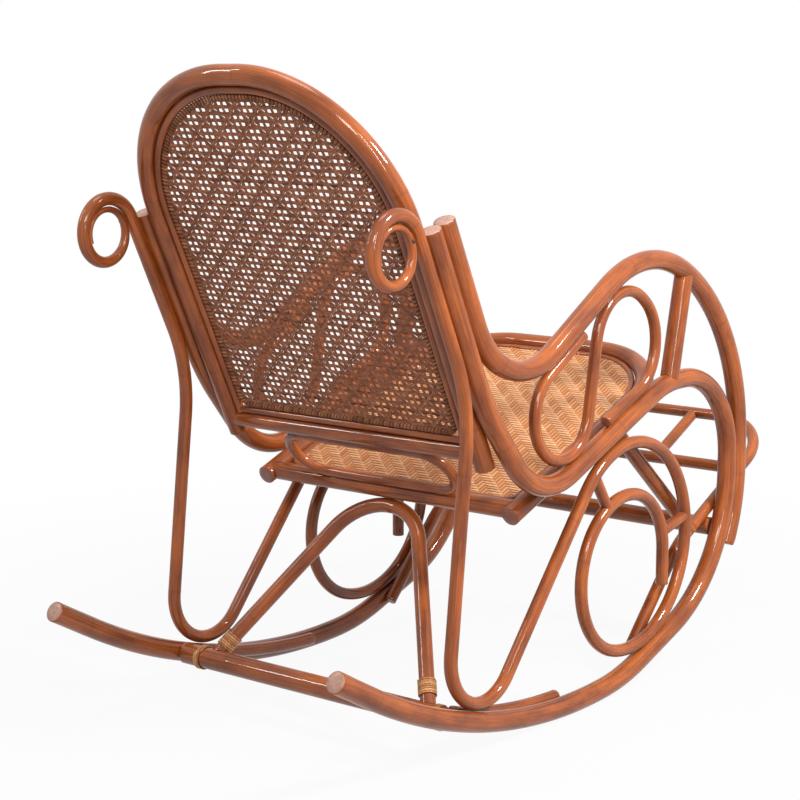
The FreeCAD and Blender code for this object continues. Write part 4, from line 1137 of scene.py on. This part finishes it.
def wrapEdge():
    chance = random.Random("edge wrap")
    inset = innerInset + pitch(back["innerDiameter"], back["edgeDiameter"])
    low = innerRailReach + pitch(back["innerRailDiameter"], back["edgeDiameter"])
    legs = closedArch(hoopHalf - inset, low, hoopTop - inset, back["hoopRadius"] - inset,
                      back["edgeCorner"])
    length = routeLength(legs)
    turns = round(length / edgeWrap["turn"])
    tones = [chance.gauss(edgeWrap["tone"], edgeWrap["toneSpread"]) for turn in range(turns)]
    tones = [min(1.0, max(edgeWrap["toneLeast"], drawn)) for drawn in tones]
    rings = turns * edgeWrap["rings"]
    points, straight, tone = [], [], []
    for ring in range(rings):
        flat, way = pointOn(legs, length * ring / rings)
        centre = onPlane(backPlane, flat)
        side = backPlane["normal"].cross(turnOnPlane(backPlane, way)).normalized()
        for step in range(edgeWrap["around"]):
            angle = 2 * math.pi * step / edgeWrap["around"]
            place = ring / edgeWrap["rings"] + edgeWrap["slant"] * math.sin(angle)
            groove = abs(math.cos(math.pi * place)) ** edgeWrap["grooveEdge"]
            radius = back["edgeDiameter"] / 2 - edgeWrap["dip"] * groove
            out = side * math.cos(angle) + backPlane["normal"] * math.sin(angle)
            points.append(centre + out * radius)
            turn = math.floor(place + 0.5) % turns
            straight.append((place * edgeWrap["turn"] * mm, turn * edgeWrap["grainShift"],
                             angle * back["edgeDiameter"] / 2 * mm))
            # the grooves between turns are darkened in the tone: painted shade
            tone.append(tones[turn] * (1 - edgeWrap["grooveShade"] * groove))
    faces = ringFaces(rings, edgeWrap["around"], closed=True)
    piece = addPiece("looks_back_edge", points, faces, [edgeCane])
    paint(piece, "straightPole", "FLOAT_VECTOR", straight)
    paint(piece, "toneAndPaintedShade", "FLOAT", tone)
    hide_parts("back_edge_binding")


wrapEdge()
print("back edge wrapped")

# cane bindings at the feet of the arch and on the stretcher
binding = {"width": 3.4, "thickness": 2.0, "pitch": 3.6, "archTurns": 7, "stretcherTurns": 3,
           "stretcherOut": 13.5, "canePole": 3, "ease": 0.4, "around": 10, "stepsPerTurn": 40, "tone": 0.5,
           "toneSwing": 0.4, "toneTurn": 0.31}


def wind(name, start, along, core, turns):
    chance = random.Random(name)
    along = along.normalized()
    first = along.orthogonal().normalized()
    second = along.cross(first)
    sunk = (binding["canePole"] - binding["thickness"]) / 2
    radius = core / 2 + binding["canePole"] / 2 + chair["fitGap"] - sunk
    count = turns * binding["stepsPerTurn"]
    points, straight, tone = [], [], []
    for number in range(count + 1):
        angle = 2 * math.pi * number / binding["stepsPerTurn"]
        out = first * math.cos(angle) + second * math.sin(angle)
        centre = start + along * (binding["pitch"] * angle / (2 * math.pi)) + out * radius
        for step in range(binding["around"]):
            turn = 2 * math.pi * step / binding["around"]
            wide = along * (binding["width"] / 2 * math.cos(turn))
            points.append(centre + wide + out * (binding["thickness"] / 2 * math.sin(turn)))
            straight.append((binding["width"] / 2 * math.cos(turn) * mm, 0.0, radius * angle * mm))
            swing = binding["toneSwing"] * math.sin(angle * binding["toneTurn"] + len(name))
            tone.append(binding["tone"] + swing * chance.random())
    faces = ringFaces(count + 1, binding["around"])
    faces.append(tuple(reversed(range(binding["around"]))))
    faces.append(tuple(count * binding["around"] + step for step in range(binding["around"])))
    piece = addPiece("looks_" + name, points, faces, [wrapCane])
    paint(piece, "straightPole", "FLOAT_VECTOR", straight)
    paint(piece, "toneAndPaintedShade", "FLOAT", tone)
    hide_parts(name)


caneOff = chair["fitGap"] + binding["canePole"] / 2 + binding["ease"]
for word, sign in sides.items():
    footOut = arch["halfSpan"] + sign * arch["shift"]
    archLegWay = straightRun(endAt((footOut, 0)), archBend)[2]
    wayUp = turnOnPlane(archPlane, Vector((sign * archLegWay.x, archLegWay.y)))
    archFoot = onPlane(archPlane, Vector((sign * footOut, 0)))
    rise = stretcher["diameter"] / 2 + caneOff + (arch["diameter"] / 2 + caneOff) * abs(archLegWay.x)
    wind("arch_binding_" + word, archFoot + wayUp * (rise / archLegWay.y), wayUp, arch["diameter"],
         binding["archTurns"])
    bandStart = chairPoint(sign * (footOut + binding["stretcherOut"]), stretcherPlace)
    wind("stretcher_binding_" + word, bandStart, acrossAxis * sign, stretcher["diameter"],
         binding["stretcherTurns"])
print("bindings wound")

# a domed nail head on the inner turn of each head ring
nail = {"diameter": 6, "head": 1.5, "lift": 0.1, "dome": 0.6, "around": 20, "rows": 5}
nailLook = {"steel": (0.055, 0.048, 0.044, 1), "rust": (0.120, 0.050, 0.026, 1), "grainScale": 900.0,
            "grainDetail": 3.0, "rustBand": (0.45, 0.7), "gloss": (0.3, 0.7, 0.32, 0.6), "metallic": 0.85}


def makeNailFinish():
    finish, tree, shader = newFinish("darkNail")
    place = addNode(tree, "ShaderNodeTexCoord")
    stain = addNode(tree, "ShaderNodeTexNoise")
    setInputs(stain, Scale=nailLook["grainScale"], Detail=nailLook["grainDetail"])
    tree.links.new(place.outputs["Object"], stain.inputs["Vector"])
    rust = spread(tree, stain.outputs["Fac"], *nailLook["rustBand"])
    colour = blendColours(tree, rust, nailLook["steel"], nailLook["rust"])
    tree.links.new(colour, shader.inputs["Base Color"])
    gloss = spread(tree, stain.outputs["Fac"], *nailLook["gloss"])
    tree.links.new(gloss, shader.inputs["Roughness"])
    shader.inputs["Metallic"].default_value = nailLook["metallic"]
    return finish


def driveNails():
    share = ringTaper[0]["length"] / routeLength(ringTaper)
    seatDiameter = leg["ringTip"] + (leg["diameter"] - leg["ringTip"]) * share
    points, faces = [], []
    for sign in sides.values():
        base = chairPoint(sign * (halfSpacing + seatDiameter / 2 + nail["lift"]), ringFront)
        start = len(points)
        for row in range(nail["rows"]):
            turn = math.pi / 2 * row / nail["rows"]
            for step in range(nail["around"]):
                angle = 2 * math.pi * step / nail["around"]
                radius = nail["diameter"] / 2 * math.cos(turn) ** nail["dome"]
                points.append(base + Vector((sign * nail["head"] * math.sin(turn), radius * math.cos(angle),
                                             radius * math.sin(angle))))
        points.append(base + Vector((sign * nail["head"], 0, 0)))
        dome = ringFaces(nail["rows"], nail["around"], start=start)
        last = start + (nail["rows"] - 1) * nail["around"]
        for step in range(nail["around"]):
            dome.append((last + step, last + (step + 1) % nail["around"], len(points) - 1))
        dome.append(tuple(start + step for step in reversed(range(nail["around"]))))
        faces += [face if sign > 0 else tuple(reversed(face)) for face in dome]
    piece = addPiece("looks_ring_nails", points, faces, [makeNailFinish()])
    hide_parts("ring_nails")


driveNails()
print("nails driven")

# floor, light and camera
studio = {"floorHalf": 14.0, "floorColour": (0.50, 0.495, 0.49, 1), "nearGlow": 0.94, "nearReach": 0.7,
          "farReach": 1.7, "skyColour": (1.0, 0.985, 0.97, 1), "skyStrength": 0.12, "white": (1, 1, 1, 1)}
lamps = {"key": {"from": (-2.0, -0.45, 2.3), "at": (0, 0.0, 0.6), "size": (0.55, 0.55), "watts": 91},
         "fill": {"from": (-1.7, 2.3, 2.2), "at": (0, 0.2, 0.65), "size": (0.7, 0.7), "watts": 34},
         "strip": {"from": (-2.4, 1.6, 1.7), "at": (0, 0.0, 0.4), "size": (0.14, 1.6), "watts": 30},
         "edge": {"from": (1.9, 1.9, 2.2), "at": (0, 0.0, 0.5), "size": (0.14, 1.4), "watts": 20},
         "top": {"from": (0.2, 0.2, 3.4), "at": (0, 0, 0), "size": (1.2, 1.2), "watts": 24}}


def seenDirectly(tree):
    path = addNode(tree, "ShaderNodeLightPath")
    either = calc(tree, "MAXIMUM", path.outputs["Is Camera Ray"], path.outputs["Is Glossy Ray"])
    return calc(tree, "MAXIMUM", either, path.outputs["Is Transmission Ray"])


def mixShaders(tree, amount, first, second, outlet):
    mix = addNode(tree, "ShaderNodeMixShader")
    tree.links.new(amount, mix.inputs[0])
    tree.links.new(first.outputs[0], mix.inputs[1])
    tree.links.new(second.outputs[0], mix.inputs[2])
    tree.links.new(mix.outputs[0], tree.nodes[outlet].inputs["Surface"])


def layFloor():
    mesh = bpy.data.meshes.new("floor")
    reach = studio["floorHalf"]
    corners = [(-reach, -reach, 0), (reach, -reach, 0), (reach, reach, 0), (-reach, reach, 0)]
    mesh.from_pydata(corners, [], [(0, 1, 2, 3)])
    floor = bpy.data.objects.new("floor", mesh)
    bpy.context.scene.collection.objects.link(floor)
    finish, tree, shader = newFinish("paleFloor")
    tree.nodes.remove(shader)
    matt = addNode(tree, "ShaderNodeBsdfDiffuse")
    matt.inputs["Color"].default_value = studio["floorColour"]
    glow = addNode(tree, "ShaderNodeEmission")
    spot = addNode(tree, "ShaderNodeTexCoord")
    away = addNode(tree, "ShaderNodeVectorMath", operation="LENGTH")
    tree.links.new(spot.outputs["Object"], away.inputs[0])
    fade = spread(tree, away.outputs["Value"], studio["nearReach"], studio["farReach"],
                  studio["nearGlow"], 1.0)
    mixShaders(tree, calc(tree, "MULTIPLY", seenDirectly(tree), fade), matt, glow, "Material Output")
    mesh.materials.append(finish)


def hangLamps():
    for name, lamp in lamps.items():
        light = bpy.data.lights.new(name, "AREA")
        light.shape = "RECTANGLE"
        light.size, light.size_y = lamp["size"]
        light.energy = lamp["watts"]
        holder = bpy.data.objects.new(name, light)
        place = Vector(lamp["from"])
        aim = (Vector(lamp["at"]) - place).to_track_quat("-Z", "Y")
        holder.matrix_world = Matrix.Translation(place) @ aim.to_matrix().to_4x4()
        bpy.context.scene.collection.objects.link(holder)
    world = bpy.data.worlds.new("studio")
    world.use_nodes = True
    tree = world.node_tree
    sky = tree.nodes["Background"]
    sky.inputs["Color"].default_value = studio["skyColour"]
    sky.inputs["Strength"].default_value = studio["skyStrength"]
    white = addNode(tree, "ShaderNodeBackground")
    white.inputs["Color"].default_value = studio["white"]
    mixShaders(tree, seenDirectly(tree), sky, white, "World Output")
    bpy.context.scene.world = world


# the photograph's viewpoint: where the camera stands, which way its frame lies, and its lens
view = {"place": (-1.888, 2.4678, 0.9545), "right": (-0.7769, -0.6296, 0.0),
        "up": (0.1025, -0.1265, 0.9867), "lens": 89.73, "sensor": 36.0}


def setCamera():
    camera = bpy.data.cameras.new("camera")
    camera.lens = view["lens"]
    camera.sensor_width = view["sensor"]
    holder = bpy.data.objects.new("camera", camera)
    right = Vector(view["right"]).normalized()
    upward = Vector(view["up"]).normalized()
    turn = Matrix((right, upward, right.cross(upward))).transposed().to_4x4()
    holder.matrix_world = Matrix.Translation(Vector(view["place"])) @ turn
    bpy.context.scene.collection.objects.link(holder)
    bpy.context.scene.camera = holder


layFloor()
hangLamps()
setCamera()
bpy.context.scene.view_settings.view_transform = "Standard"
print("stage set")
